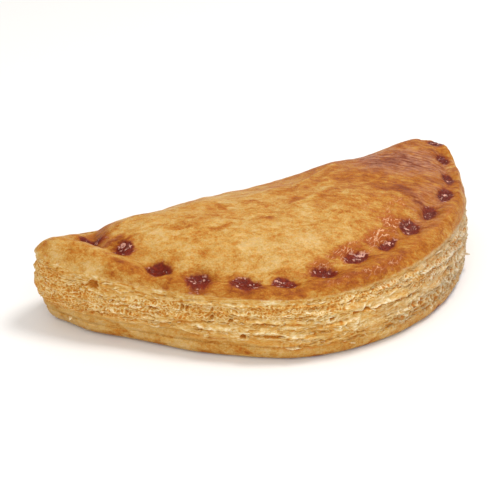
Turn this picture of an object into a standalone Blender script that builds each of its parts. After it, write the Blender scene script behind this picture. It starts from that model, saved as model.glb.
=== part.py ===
"""Puff pastry empanada: a half-moon turnover with a crimped rim and a flaky cut edge.

It is one baked piece, so it is one closed solid. It lies on its flat base at z = 0, over
the origin, with the straight fold at +Y, the curved cut edge at -Y and the tips at -X and +X.

The solid is a loft of closed rings. Every ring goes once round the plan outline, at its
own inset and height: out over the base, up the flaky layers of the cut edge, over the
rolled rim, through the crimped valley with its dimples, and in over the filled dome to
the spine under its ridge. Along the fold the same rings wrap round a plain bend instead.
"""

import math

import bmesh
import bpy
import numpy as np

MM = 0.001  # driving dimensions are in millimetres, the mesh is in metres

# Plan outline, counter-clockwise from the corner where the fold meets the left tip.
# The first CUT_POINTS of them bound the cut edge, and the rest lie on the fold.
OUTLINE = [
    (-71, 37), (-80.1, 28.5), (-72.5, 12), (-57.5, -4), (-39.5, -21.5), (-18.5, -35.5),
    (6.5, -39.5), (33.5, -34), (56.5, -19), (72, 1), (79.8, 23), (74, 36),
    (40.5, 39), (-4.5, 38.5), (-44.5, 37),
]
CUT_POINTS = 12
CUT_STEP = 1.95         # spacing of a ring's points along the cut edge
FOLD_STEP = 4.5         # and along the fold
CORNER_INSIDE = 7.0     # the two sections blend from this far inside the cut edge's corners
CORNER_OUTSIDE = 9.0    # to this far beyond them

# Measures of the cut edge, each given at a few places from its left corner (0) to its
# right corner (1) and eased between them. Insets are from the outline.
EDGE_Z = {0.00: 21.5, 0.10: 21.5, 0.22: 19.0, 0.45: 19.0, 0.70: 21.2, 1.00: 22.5}
EDGE_IN = {0.00: 1.5, 0.10: 2.0, 0.30: 1.8, 0.58: 3.0, 0.80: 1.6, 1.00: 0.8}
CREST_Z = {0.00: 29.0, 0.10: 29.6, 0.25: 24.8, 0.40: 24.3, 0.55: 25.8, 0.85: 29.0, 1.00: 31.5}
CREST_IN = {0.00: 8.0, 0.10: 8.5, 0.25: 5.0, 0.45: 5.6, 0.62: 7.0, 0.85: 4.6, 1.00: 4.0}
VALLEY_Z = {0.00: 28.3, 0.10: 28.5, 0.22: 23.7, 0.30: 22.6, 0.42: 22.8, 0.58: 25.0, 0.85: 27.4, 1.00: 30.0}
VALLEY_IN = {0.00: 16.0, 0.14: 16.0, 0.23: 9.0, 0.36: 8.6, 0.56: 14.0, 0.64: 13.8, 0.82: 8.2, 1.00: 7.0}
RISE_RUN = {0.00: 20.0, 0.18: 22.0, 0.40: 36.0, 0.60: 30.0, 1.00: 20.0}  # valley to the level dome
LIP_IN = {0.00: 3.5, 0.14: 4.0, 0.30: 1.0, 0.45: 0.4, 0.80: 0.6, 1.00: 1.5}
BASE_TUCK = {0.00: 5.0, 0.14: 4.5, 0.30: 3.0, 0.60: 2.6, 1.00: 3.0}  # lip to the flat base

# Base crust, flaky layers and rolled rim of the cut edge
LIP_MID_Z = 2.4
LIP_TOP_Z = 4.4
LIP_LEAN = 0.75     # the lip's top keeps this much of the lip's inset
LAYERS = 6          # bundles of pastry layers that read as ridges
GROOVE_AT = 0.1     # where in a bundle's height its groove and its ridge lie
RIDGE_AT = 0.6
LAYER_IN = 0.6      # mean inset of the ridges
LAYER_DEPTH = 1.4   # how far a groove between two bundles goes in
LAYER_WANDER = 0.8  # how far a bundle rises and falls along the edge
LAYER_BULGE = 0.5   # how far a ridge swells out
FRAY = 0.45         # raggedness of the flakes' edges
SKIN_OVERHANG = 1.4
SKIN_FACE = 2.0     # height of the skin's upright face below the rolled rim
ROLL_POWER = 2.4

# Dome of filling and the rounded fold behind it
RIDGE_Z = 33.4
RISE_POWER = 2.1
FOLD_Z = 12.0           # height of the fold's hindmost line
FOLD_TUCK = 9.0         # inset of the base along the fold
FOLD_RUN = 27.0         # from the fold in to where the dome is level
FOLD_RUN_TIP = 16.0     # the same near the tips, where the bend is tighter
FOLD_TIPS = (35.0, 72.0)    # the run shortens between these distances from the middle
SLOPE_BLEND = 1.4       # softness where the front and back slopes of the dome meet
BLISTERS = [            # x, y, radius and rise of the larger swellings and hollows
    (40, 24, 13, 1.0), (64, 27, 11, 1.3), (16, 0, 16, 0.7), (-26, 18, 15, 0.6),
    (-44, 8, 11, -0.7), (48, 4, 12, -0.8), (-2, 24, 12, -0.5),
]

# Crimp dimples, pressed in along the valley
DIMPLES = 15
DIMPLE_FIRST = 0.106    # places of the first and the last along the cut edge
DIMPLE_LAST = 0.953
DIMPLE_LENGTH = 9.5
DIMPLE_WIDTH = 6.4
DIMPLE_DEPTH = 2.3
DIMPLE_FLOOR = 0.25     # part of its radius that is flat floor
DIMPLE_SHOULDER = 1.1   # where its side meets the skin

# Rings of the top: skin edge to crest, crest to valley floor and past it, then to the spine
RIM_SHARES = (0.1, 0.32, 0.64, 1.0)
VALLEY_SHARES = (0.35, 0.7, 1.0, 1.3, 1.65, 2.1)
DOME_SHARES = (0.17, 0.35, 0.53, 0.72, 0.9)
MOST_OF_THE_WAY = 0.75      # a valley ring goes at most this far to the spine
FOLD_SHARES = (0.03, 0.4)   # how far to the spine the same rings go along the fold
FOLD_TURN = 0.55            # radians that the side's rings go up the bend of the fold
BASE_SHARE = 0.5            # the ring on the flat base

# The spine under the ridge, bowed towards the fold at its ends
SPINE_LEFT = -48.5
SPINE_RIGHT = 57.5
SPINE_Y = 8.0
SPINE_BOW = 8.0

PASTRY_COLOUR = (0.66, 0.36, 0.11, 1.0)
PASTRY_ROUGHNESS = 0.5


def smooth(low, high, value):
    """Smooth step from 0 at low to 1 at high."""
    share = np.clip((value - low) / (high - low), 0.0, 1.0)
    return share * share * (3.0 - 2.0 * share)


def closed_curve(points, per_span):
    """Samples of a smooth closed curve through the points, per_span of them to each span."""
    knots = np.array(points, float)
    t = np.linspace(0.0, 1.0, per_span, endpoint=False)[:, None]
    spans = []
    for index in range(len(knots)):
        before, start, end, after = (knots[(index + step) % len(knots)] for step in (-1, 0, 1, 2))
        span_in, span, span_out = (math.dist(*pair) ** 0.5
                                   for pair in ((before, start), (start, end), (end, after)))
        chord = end - start
        leave = chord + span * ((start - before) / span_in - (end - before) / (span_in + span))
        arrive = chord + span * ((after - end) / span_out - (after - start) / (span + span_out))
        spans.append((2 * t**3 - 3 * t**2 + 1) * start + (t**3 - 2 * t**2 + t) * leave
                     + (3 * t**2 - 2 * t**3) * end + (t**3 - t**2) * arrive)
    return np.concatenate(spans)


class Outline:
    """The plan outline: a ring's points, their inward normals and their place on the cut edge."""

    PER_SPAN = 40
    NORMAL_REACH = 2.0

    def __init__(self):
        curve = closed_curve(OUTLINE, self.PER_SPAN)
        self.looped = np.vstack([curve, curve[:1]])
        self.length = np.concatenate([[0.0], np.cumsum(np.hypot(*np.diff(self.looped, axis=0).T))])
        corner = (CUT_POINTS - 1) * self.PER_SPAN
        cut_length = self.length[corner]
        whole = self.length[-1]
        arc = np.concatenate([
            np.linspace(0.0, cut_length, round(cut_length / CUT_STEP), endpoint=False),
            np.linspace(cut_length, whole, round((whole - cut_length) / FOLD_STEP), endpoint=False),
        ])
        self.arc = arc
        self.points = self.at(arc)
        along = self.at(arc + self.NORMAL_REACH) - self.at(arc - self.NORMAL_REACH)
        along /= np.hypot(*along.T)[:, None]
        self.inward = np.stack([-along[:, 1], along[:, 0]], 1)
        on_fold = np.where(whole - arc < arc - cut_length, 0.0, 1.0)
        self.place = np.where(arc <= cut_length, arc / cut_length, on_fold)
        inside = np.minimum(arc, cut_length - arc)
        outside = np.minimum(arc - cut_length, whole - arc)
        from_corner = np.where(arc <= cut_length, inside, -outside)
        self.cut = smooth(-CORNER_OUTSIDE, CORNER_INSIDE, from_corner)
        self.cut_curve = curve[: corner + 1]
        self.cut_place = self.length[: corner + 1] / cut_length
        self.fold_curve = curve[corner:]

    def at(self, arc):
        """Plan points at these lengths along the outline."""
        wrapped = arc % self.length[-1]
        return np.stack([np.interp(wrapped, self.length, self.looped[:, axis]) for axis in (0, 1)], 1)


def along_edge(measure, place):
    """A measure of the cut edge, eased between the places where it is given."""
    places = np.array(sorted(measure))
    values = np.array([measure[key] for key in sorted(measure)])
    index = np.clip(np.searchsorted(places, place) - 1, 0, len(places) - 2)
    share = smooth(0.0, 1.0, (place - places[index]) / (places[index + 1] - places[index]))
    return values[index] * (1.0 - share) + values[index + 1] * share


def wave(arc, seed, longest):
    """A gentle irregular wave along the edge, between about -1 and 1."""
    phases = np.random.default_rng(seed).uniform(0.0, 2 * math.pi, 4)
    lengths = longest * np.array([1.0, 0.61, 0.37, 0.21])
    weights = (0.45, 0.3, 0.25, 0.2)
    turns = 2 * math.pi * arc[:, None] / lengths + phases
    return np.sin(turns) @ weights


def distance_to_cut(outline, x, y):
    """Distance of plan points from the cut edge, and the place along it that they face."""
    across = np.hypot(x[:, None] - outline.cut_curve[:, 0], y[:, None] - outline.cut_curve[:, 1])
    nearness = 1.0 / (across**2 + 0.5) ** 3
    return across.min(1), (nearness @ outline.cut_place) / nearness.sum(1)


def rim_slope(distance, place):
    """Height of the skin over the cut edge: rolled rim, valley, then the dome's rise."""
    edge_z, edge_in = along_edge(EDGE_Z, place), along_edge(EDGE_IN, place)
    crest_z, crest_in = along_edge(CREST_Z, place), along_edge(CREST_IN, place)
    valley_z, valley_in = along_edge(VALLEY_Z, place), along_edge(VALLEY_IN, place)
    roll = np.clip((crest_in - distance) / (crest_in - edge_in), 0.0, 1.0)
    rim = crest_z - (crest_z - edge_z - SKIN_FACE) * roll**ROLL_POWER
    to_valley = smooth(crest_in, valley_in, distance)
    to_ridge = np.clip((distance - valley_in) / along_edge(RISE_RUN, place), 0.0, 1.0)
    dome = (RIDGE_Z - valley_z) * (1.0 - (1.0 - to_ridge) ** RISE_POWER)
    return rim - (crest_z - valley_z) * to_valley + dome


def fold_run(x):
    """How far in from the fold the dome is level: less towards the tips."""
    middle = (SPINE_LEFT + SPINE_RIGHT) / 2
    return FOLD_RUN + (FOLD_RUN_TIP - FOLD_RUN) * smooth(*FOLD_TIPS, np.abs(x - middle))


def fold_slope(outline, x, y):
    """Height of the skin over the rounded fold."""
    order = np.argsort(outline.fold_curve[:, 0])
    fold_y = np.interp(x, *outline.fold_curve[order].T)
    inset = np.clip((fold_y - y) / fold_run(x), 0.0, 1.0)
    return FOLD_Z + (RIDGE_Z - FOLD_Z) * np.sqrt(1.0 - (1.0 - inset) ** 2)


def dimple_places(outline):
    """Centre and lengthways direction of each dimple in plan."""
    places = np.linspace(DIMPLE_FIRST, DIMPLE_LAST, DIMPLES)
    arc = places * outline.length[len(outline.cut_curve) - 1]
    edge = outline.at(arc)
    along = outline.at(arc + 1.0) - edge
    along /= np.hypot(*along.T)[:, None]
    inward = np.stack([-along[:, 1], along[:, 0]], 1)
    return edge + inward * along_edge(VALLEY_IN, places)[:, None], along


def skin_height(outline, plan):
    """Height of the top skin at plan points, with its blisters and dimples."""
    x, y = plan.T
    front = rim_slope(*distance_to_cut(outline, x, y))
    back = fold_slope(outline, x, y)
    lower = np.minimum(front, back)
    height = lower - SLOPE_BLEND * np.log1p(np.exp(-np.abs(front - back) / SLOPE_BLEND))
    for centre_x, centre_y, radius, rise in BLISTERS:
        height += rise * np.exp(-((x - centre_x) ** 2 + (y - centre_y) ** 2) / radius**2)
    for centre, along in zip(*dimple_places(outline)):
        off = plan - centre
        lengthways = off @ along / (DIMPLE_LENGTH / 2)
        crossways = off @ (-along[1], along[0]) / (DIMPLE_WIDTH / 2)
        radius = np.hypot(lengthways, crossways)
        height -= DIMPLE_DEPTH * (1.0 - smooth(DIMPLE_FLOOR, DIMPLE_SHOULDER, radius))
    return height


def crust_rings(outline):
    """Inset and height of the base crust's rings, from the flat base to the top of its lip."""
    lip_in, tuck = along_edge(LIP_IN, outline.place), along_edge(BASE_TUCK, outline.place)
    level = np.ones(len(outline.points))
    return [
        (lip_in + tuck, 0.0 * level),
        (lip_in + tuck * 0.3, 0.7 * level),
        (lip_in, LIP_MID_Z * level),
        (lip_in * LIP_LEAN + 0.4, LIP_TOP_Z * level),
    ]


def layer_rings(outline):
    """Inset and height of the flaky layers' rings, a groove and a ridge to each bundle."""
    edge_z, edge_in = along_edge(EDGE_Z, outline.place), along_edge(EDGE_IN, outline.place)
    lip_in = along_edge(LIP_IN, outline.place)
    rings = []
    for layer in range(LAYERS):
        wander = LAYER_WANDER * wave(outline.arc, 10 + layer, 60.0)
        groove = LAYER_DEPTH * (0.75 + 0.5 * wave(outline.arc, 40 + layer, 45.0))
        ridge = -LAYER_BULGE * wave(outline.arc, 70 + layer, 35.0)
        ridge -= FRAY * wave(outline.arc, 90 + layer, 9.0)
        for part, relief in ((GROOVE_AT, groove), (RIDGE_AT, ridge)):
            share = (layer + part) / LAYERS
            lean = lip_in * LIP_LEAN * (1.0 - smooth(0.0, 0.5, share)) + edge_in * share**2
            height = LIP_TOP_Z + (edge_z - LIP_TOP_Z) * share + wander * math.sin(math.pi * share)
            rings.append((LAYER_IN + lean + relief, height))
    return rings


def skin_edge_rings(outline):
    """Inset and height of the two rings where the skin overhangs the layers."""
    edge_z, edge_in = along_edge(EDGE_Z, outline.place), along_edge(EDGE_IN, outline.place)
    return [(edge_in + SKIN_OVERHANG, edge_z - 0.3), (edge_in, edge_z + 1.0)]


def fold_rings(outline, count):
    """Inset and height of the same number of rings round the plain bend of the fold."""
    run = fold_run(outline.points[:, 0])
    rings = []
    for turn in np.linspace(-1.0, 1.0, count):
        if turn < 0:
            angle = turn * math.pi / 2
            rings.append((FOLD_TUCK * (1.0 - math.cos(angle)), FOLD_Z * (1.0 + math.sin(angle))))
        else:
            angle = turn * FOLD_TURN
            height = FOLD_Z + (RIDGE_Z - FOLD_Z) * math.sin(angle)
            rings.append((run * (1.0 - math.cos(angle)), height))
    return rings


def side_of_loft(outline):
    """The rings of the side, the cut edge's section blended into the fold's at the corners."""
    rings = crust_rings(outline) + layer_rings(outline) + skin_edge_rings(outline)
    cut = outline.cut
    loft = []
    for (inset, height), (fold_inset, fold_height) in zip(rings, fold_rings(outline, len(rings))):
        inset = cut * inset + (1.0 - cut) * fold_inset
        height = cut * height + (1.0 - cut) * fold_height
        loft.append(np.column_stack([outline.points + outline.inward * inset[:, None], height]))
    return loft


def spine_points(outline):
    """The point of the spine that each point of the outline closes in on."""
    across = outline.points[:, 0]
    share = (across - across.min()) / np.ptp(across)
    bow = SPINE_BOW * (2.0 * share - 1.0) ** 2
    return np.column_stack([SPINE_LEFT + (SPINE_RIGHT - SPINE_LEFT) * share, SPINE_Y + bow])


def march_in(outline, start, spine):
    """A function of inset: how far to the spine, 0 to 1, each point is that far from the edge."""
    steps = np.linspace(0.0, 1.0, 33)
    plan = start[:, None, :] + (spine - start)[:, None, :] * steps[None, :, None]
    distance, _ = distance_to_cut(outline, *plan.reshape(-1, 2).T)
    distance = np.maximum.accumulate(distance.reshape(plan.shape[:2]), axis=1)

    def shares(inset):
        reached = [np.interp(reach, row, steps) for reach, row in zip(inset, distance)]
        return np.minimum(reached, MOST_OF_THE_WAY)

    return shares


def top_of_loft(outline, start):
    """Rings over the rim, the valley and the dome, from the skin edge in to the spine."""
    edge_in = along_edge(EDGE_IN, outline.place)
    crest_in, valley_in = along_edge(CREST_IN, outline.place), along_edge(VALLEY_IN, outline.place)
    insets = [edge_in + (crest_in - edge_in) * share for share in RIM_SHARES]
    insets += [crest_in + (valley_in - crest_in) * share for share in VALLEY_SHARES]
    spine = spine_points(outline)
    reach = march_in(outline, start, spine)
    cut = outline.cut
    fold_shares = np.linspace(*FOLD_SHARES, len(insets))
    shares = [cut * reach(inset) + (1.0 - cut) * share for inset, share in zip(insets, fold_shares)]
    shares += [shares[-1] + (1.0 - shares[-1]) * step for step in DOME_SHARES]
    plans = [start + (spine - start) * share[:, None] for share in shares]
    return [np.column_stack([plan, skin_height(outline, plan)]) for plan in plans]


def base_ring(outline, start):
    """A ring on the flat base, part of the way in to the spine."""
    plan = start + (spine_points(outline) - start) * BASE_SHARE
    return np.column_stack([plan, np.zeros(len(plan))])


def loft_mesh(name, rings):
    """A closed mesh through the rings, with caps inside the first and the last."""
    bm = bmesh.new()
    loops = [[bm.verts.new(point * MM) for point in ring] for ring in rings]
    for lower, upper in zip(loops, loops[1:]):
        for index in range(len(lower)):
            following = (index + 1) % len(lower)
            bm.faces.new((lower[index], lower[following], upper[following], upper[index]))
    bm.faces.new(reversed(loops[0]))
    bm.faces.new(loops[-1])
    bmesh.ops.triangulate(bm, faces=bm.faces[:], quad_method="SHORT_EDGE", ngon_method="BEAUTY")
    bmesh.ops.recalc_face_normals(bm, faces=bm.faces[:])
    mesh = bpy.data.meshes.new(name)
    bm.to_mesh(mesh)
    bm.free()
    mesh.shade_smooth()
    return mesh


def pastry_material():
    material = bpy.data.materials.new("baked_pastry")
    material.use_nodes = True
    shader = material.node_tree.nodes["Principled BSDF"]
    shader.inputs["Base Color"].default_value = PASTRY_COLOUR
    shader.inputs["Roughness"].default_value = PASTRY_ROUGHNESS
    shader.inputs["Metallic"].default_value = 0.0
    return material


def build_pastry():
    """The whole empanada as one object."""
    outline = Outline()
    side = side_of_loft(outline)
    base = base_ring(outline, side[0][:, :2])
    top = top_of_loft(outline, side[-1][:, :2])
    mesh = loft_mesh("pastry", [base] + side + top)
    mesh.materials.append(pastry_material())
    bpy.context.scene.collection.objects.link(bpy.data.objects.new("pastry", mesh))


def clear_scene():
    for item in list(bpy.data.objects):
        bpy.data.objects.remove(item, do_unlink=True)


clear_scene()
build_pastry()
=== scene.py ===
"""Looks of the puff pastry empanada: egg-washed crust, crimp dimples and the flaky cut edge."""

import math

import bpy
import numpy as np
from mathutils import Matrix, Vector


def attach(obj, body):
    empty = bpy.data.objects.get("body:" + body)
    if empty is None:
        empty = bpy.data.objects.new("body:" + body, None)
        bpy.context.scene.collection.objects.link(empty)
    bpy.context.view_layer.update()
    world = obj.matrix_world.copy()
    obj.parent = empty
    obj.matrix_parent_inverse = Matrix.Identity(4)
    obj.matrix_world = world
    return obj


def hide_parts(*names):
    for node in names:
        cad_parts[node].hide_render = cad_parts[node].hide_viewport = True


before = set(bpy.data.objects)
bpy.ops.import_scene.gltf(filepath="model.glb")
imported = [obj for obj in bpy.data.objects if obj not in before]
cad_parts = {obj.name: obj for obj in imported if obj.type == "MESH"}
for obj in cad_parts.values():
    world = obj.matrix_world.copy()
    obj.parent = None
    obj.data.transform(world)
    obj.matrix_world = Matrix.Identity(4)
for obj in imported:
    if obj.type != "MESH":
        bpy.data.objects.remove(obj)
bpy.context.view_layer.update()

MM = 0.001      # shapes are worked out in millimetres, the meshes are in metres

# ------------------------------
# The crust's main form. These are the named sizes of the solid that it replaces, with some
# set closer to the real crust's curves, which the solid's few rings can't follow.
# ------------------------------

# Plan outline, counter-clockwise from the corner where the fold meets the left tip.
# The first CUT_POINTS of them bound the cut edge, and the rest lie on the fold.
OUTLINE = [
    (-71, 37), (-80.1, 28.5), (-72.5, 12), (-57.5, -4), (-39.5, -21.5), (-18.5, -35.5),
    (6.5, -39.5), (33.5, -34), (56.5, -19), (72, 1), (79.8, 23), (74, 36),
    (40.5, 39), (-4.5, 38.5), (-44.5, 37),
]
CUT_POINTS = 12
CORNER_INSIDE = 7.0     # the two sections blend from this far inside the cut edge's corners
CORNER_OUTSIDE = 9.0    # to this far beyond them

# Measures of the cut edge, each given at a few places from its left corner (0) to its
# right corner (1) and eased between them. Insets are from the outline.
EDGE_Z = {0.00: 23.6, 0.06: 24.2, 0.13: 21.6, 0.22: 19.0, 0.45: 19.0, 0.70: 21.2, 0.88: 22.2,
          1.00: 25.0}
EDGE_IN = {0.00: 3.0, 0.08: 1.8, 0.16: 2.4, 0.30: 2.4, 0.58: 3.2, 0.80: 1.6, 1.00: 1.0}
CREST_Z = {0.00: 29.4, 0.10: 31.0, 0.25: 24.1, 0.40: 23.5, 0.55: 25.3, 0.85: 28.8, 1.00: 31.6}
CREST_IN = {0.00: 9.0, 0.10: 7.8, 0.25: 5.0, 0.45: 5.6, 0.62: 7.0, 0.85: 4.0, 1.00: 3.4}
VALLEY_Z = {0.00: 26.4, 0.10: 25.4, 0.17: 26.0, 0.23: 23.6, 0.30: 22.8, 0.42: 22.9, 0.58: 25.1,
            0.85: 28.4, 1.00: 31.2}
VALLEY_IN = {0.00: 16.0, 0.14: 16.0, 0.23: 9.0, 0.36: 8.6, 0.56: 14.0, 0.64: 13.6, 0.82: 7.6,
             1.00: 6.4}
RISE_RUN = {0.00: 20.0, 0.18: 22.0, 0.40: 36.0, 0.60: 30.0, 1.00: 20.0}     # valley to level dome
LIP_IN = {0.00: 6.2, 0.08: 4.6, 0.16: 2.6, 0.30: 0.8, 0.45: 0.4, 0.80: 0.6, 1.00: 1.5}
BASE_TUCK = {0.00: 5.0, 0.14: 4.6, 0.30: 2.4, 0.60: 2.2, 1.00: 2.6}

# Base crust, flaky layers and rolled rim of the cut edge
LIP_MID_Z = 2.4
LIP_TOP_Z = 4.4
LIP_LEAN = 0.75     # the lip's top keeps this much of the lip's inset
LEAN_SHARE = 0.55   # and the layers lean out from it over this share of their height,
LEAN_POWER = 1.6    # less and less towards its end
LAYERS = 6          # bundles of pastry layers that read as ridges
GROOVE_AT = 0.1     # where in a bundle's height its groove and its ridge lie
RIDGE_AT = 0.6
LAYER_IN = 0.6      # mean inset of the ridges
LAYER_DEPTHS = {0.00: 0.7, 0.40: 0.7, 0.60: 0.3, 1.00: 0.3}    # how far the grooves go in
FIRST_GROOVE = 0.3  # the groove over the base crust is shallower by this factor
LAYER_WANDER = 0.8  # how far a bundle rises and falls along the edge
LAYER_BULGE = 0.5   # how far a ridge swells out
SKIN_OVERHANG = 1.4
SKIN_FACE = 1.3     # height of the skin's upright face below the rolled rim
ROLL_POWER = 1.9

# Dome of filling and the rounded fold behind it
RIDGE_Z = 33.4
RISE_POWER = 2.1
FOLD_Z = 12.0           # height of the fold's hindmost line
FOLD_TUCK = 9.0         # inset of the base along the fold
FOLD_RUN = 27.0         # from the fold in to where the dome is level
FOLD_RUN_TIP = 16.0     # the same near the tips, where the bend is tighter
FOLD_TIPS = (35.0, 72.0)    # the run shortens between these distances from the middle
SLOPE_BLEND = 1.4       # softness where the front and back slopes of the dome meet
BLISTERS = [            # x, y, radius and rise of the larger swellings and hollows
    (40, 24, 13, 1.0), (68, 24, 9, 1.2), (16, 0, 16, 0.7), (-26, 18, 15, 0.6),
    (-44, 8, 11, -0.7), (48, 4, 12, -0.8), (-2, 24, 12, -0.5), (-61, 29, 9, -2.8),
    (13, 24, 6, -0.7), (29, 26, 8, 0.4), (46, 27, 7, -0.5),
]

# Crimp dimples, pressed in along the valley
DIMPLES = 15
DIMPLE_FIRST = 0.106    # places of the first and the last along the cut edge
DIMPLE_LAST = 0.953
DIMPLE_LENGTH = 9.5
DIMPLE_WIDTH = 6.4
DIMPLE_DEPTH = 1.2
DIMPLE_WRINKLE = 0.22   # depth of the wrinkles on its floor
DIMPLE_FLOOR = 0.2      # part of its radius that is flat floor
DIMPLE_SHOULDER = 1.2   # where its side meets the skin
DIMPLE_OUTWARD = 1.9    # it runs out this much wider towards the rim
DIMPLE_RAGGED = 0.13    # how uneven its outline is
DIMPLE_DRAWS = 0.12     # how much its length, width (as shares) and turn (in radians) vary
CHAR_BORDER = (0.80, 1.06)      # shares of the char's radius between which it fades
HALO_BORDER = (0.95, 1.4)       # and the browned surround
# How each dimple's char differs: shift along the edge and inwards, length and width
CHARS = [
    (0.4, 2.6, 9.6, 3.6), (2.0, -0.2, 8.0, 6.6), (0.4, -0.7, 8.6, 7.0), (-0.5, -2.2, 9.2, 8.6),
    (-0.9, -1.5, 11.4, 7.2), (-2.0, -0.3, 8.6, 5.2), (-0.9, -0.5, 9.8, 5.6), (-0.2, 0.1, 10.0, 4.6),
    (0.2, -0.4, 9.6, 3.6), (1.4, 0.2, 7.6, 7.0), (0.8, 0.0, 7.2, 5.2), (0.0, -0.1, 10.2, 5.6),
    (-1.1, 0.0, 8.8, 4.6), (-1.2, 0.0, 7.6, 5.4), (-1.5, -1.8, 7.6, 5.4),
]

FOLD_SHARES = (0.03, 0.4)   # how far to the spine the rim's and valley's rings go at the fold
FOLD_TURN = 0.55            # radians that the side's rings go up the bend of the fold
MOST_OF_THE_WAY = 0.75      # the last valley ring goes at most this far to the spine
FIRST_LIMIT = 0.6           # and the first ring at most this share of that
MARCH_STEPS = 33            # places between the edge and the spine where insets are measured

# The spine under the ridge, bowed towards the fold at its ends
SPINE_LEFT = -48.5
SPINE_RIGHT = 57.5
SPINE_Y = 8.0
SPINE_BOW = 8.0

# ------------------------------
# Fineness of the visible mesh
# ------------------------------

CUT_COLUMNS = 720       # points of a ring along the cut edge
FOLD_COLUMNS = 128      # and along the fold
LIP_STEP = 0.4          # spacing of the rings on the lip and the skin's edge, counted in coarse rings
BAND_STEP = 0.22        # and on the layers
RIM_ROWS = 11
RIM_ROW_POWER = 1.3     # above 1 they are closer near the skin's edge
VALLEY_ROWS = 22
VALLEY_PAST = 2.1       # the valley's rings go this many times its width in from the crest
DOME_ROWS = (14, 16)    # rings of the dome, on half and on a quarter of the columns
DOME_END = 0.95
BASE_SHARES = (0.9, 0.7, 0.45, 0.2, 0.06)
BASE_THINNING = (8, 8, 8, 4, 2)     # those rings have one column in this many

NOISE_SIZE = 128        # cells of a noise pattern before it repeats
LAYER_STRIDE = 7.31     # and how many of them lie between the patterns of two layers
CHUNK = 20000           # points whose distance to the cut edge is worked out at a time


def smooth(low, high, value):
    """Smooth step from 0 at low to 1 at high."""
    share = np.clip((value - low) / (high - low), 0.0, 1.0)
    return share * share * (3.0 - 2.0 * share)


# ------------------------------
# Patterns
# ------------------------------

def noise(x, y, seed):
    """Smooth noise between about -1 and 1, with cells one unit wide."""
    turns = np.random.default_rng(seed).uniform(0.0, 2 * math.pi, (NOISE_SIZE, NOISE_SIZE))
    x, y = np.broadcast_arrays(np.asarray(x, float), np.asarray(y, float))
    column, row = np.floor(x).astype(int), np.floor(y).astype(int)
    across, up = x - column, y - row

    def corner(right, above):
        turn = turns[(column + right) % NOISE_SIZE, (row + above) % NOISE_SIZE]
        return np.cos(turn) * (across - right) + np.sin(turn) * (up - above)

    ease_x, ease_y = (v**3 * (v * (6 * v - 15) + 10) for v in (across, up))
    low = corner(0, 0) * (1 - ease_x) + corner(1, 0) * ease_x
    high = corner(0, 1) * (1 - ease_x) + corner(1, 1) * ease_x
    return 1.5 * (low * (1 - ease_y) + high * ease_y)


def rough(x, y, *terms):
    """Sum of noises, each with its strength, its cells' length and width in mm and its seed."""
    return sum(strength * noise(x / length, y / width, seed) for strength, length, width, seed in terms)


def layered_noise(x, y, seed):
    """Three sizes of the same noise, each half as wide and half as strong."""
    total = 0.0
    for octave in range(3):
        scale = 2.0**octave
        shift_x, shift_y = 17.3 * octave, 5.1 * octave
        total = total + noise(x * scale + shift_x, y * scale + shift_y, seed + octave) / scale
    return total / 1.75 * 1.3


def cells(x, y, seed):
    """Distances to the nearest and the next scattered point, one in each unit cell."""
    scatter = np.random.default_rng(seed).uniform(0.0, 1.0, (2, NOISE_SIZE, NOISE_SIZE))
    x, y = np.broadcast_arrays(np.asarray(x, float), np.asarray(y, float))
    column, row = np.floor(x).astype(int), np.floor(y).astype(int)
    near = np.full(x.shape, 9.0)
    after = np.full(x.shape, 9.0)
    for right in (-1, 0, 1):
        for above in (-1, 0, 1):
            i, j = (column + right) % NOISE_SIZE, (row + above) % NOISE_SIZE
            away = np.hypot(column + right + scatter[0, i, j] - x, row + above + scatter[1, i, j] - y)
            after = np.minimum(after, np.maximum(near, away))
            near = np.minimum(near, away)
    return near, after


def from_oval(x, y, centre_x, centre_y, half_length, half_width, turn=0.0):
    """How far points are from an oval's centre: 1 on the oval. Its turn is in degrees."""
    cos, sin = math.cos(math.radians(turn)), math.sin(math.radians(turn))
    along = (x - centre_x) * cos + (y - centre_y) * sin
    across = (y - centre_y) * cos - (x - centre_x) * sin
    return np.hypot(along / half_length, across / half_width)


# ------------------------------
# Main form
# ------------------------------

def closed_curve(points, per_span):
    """Samples of a smooth closed curve through the points, per_span of them to each span."""
    knots = np.array(points, float)
    t = np.linspace(0.0, 1.0, per_span, endpoint=False)[:, None]
    spans = []
    for index in range(len(knots)):
        before, start, end, after = (knots[(index + step) % len(knots)] for step in (-1, 0, 1, 2))
        span_in, span, span_out = (math.dist(*pair) ** 0.5
                                   for pair in ((before, start), (start, end), (end, after)))
        chord = end - start
        leave = chord + span * ((start - before) / span_in - (end - before) / (span_in + span))
        arrive = chord + span * ((after - end) / span_out - (after - start) / (span + span_out))
        spans.append((2 * t**3 - 3 * t**2 + 1) * start + (t**3 - 2 * t**2 + t) * leave
                     + (3 * t**2 - 2 * t**3) * end + (t**3 - t**2) * arrive)
    return np.concatenate(spans)


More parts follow.
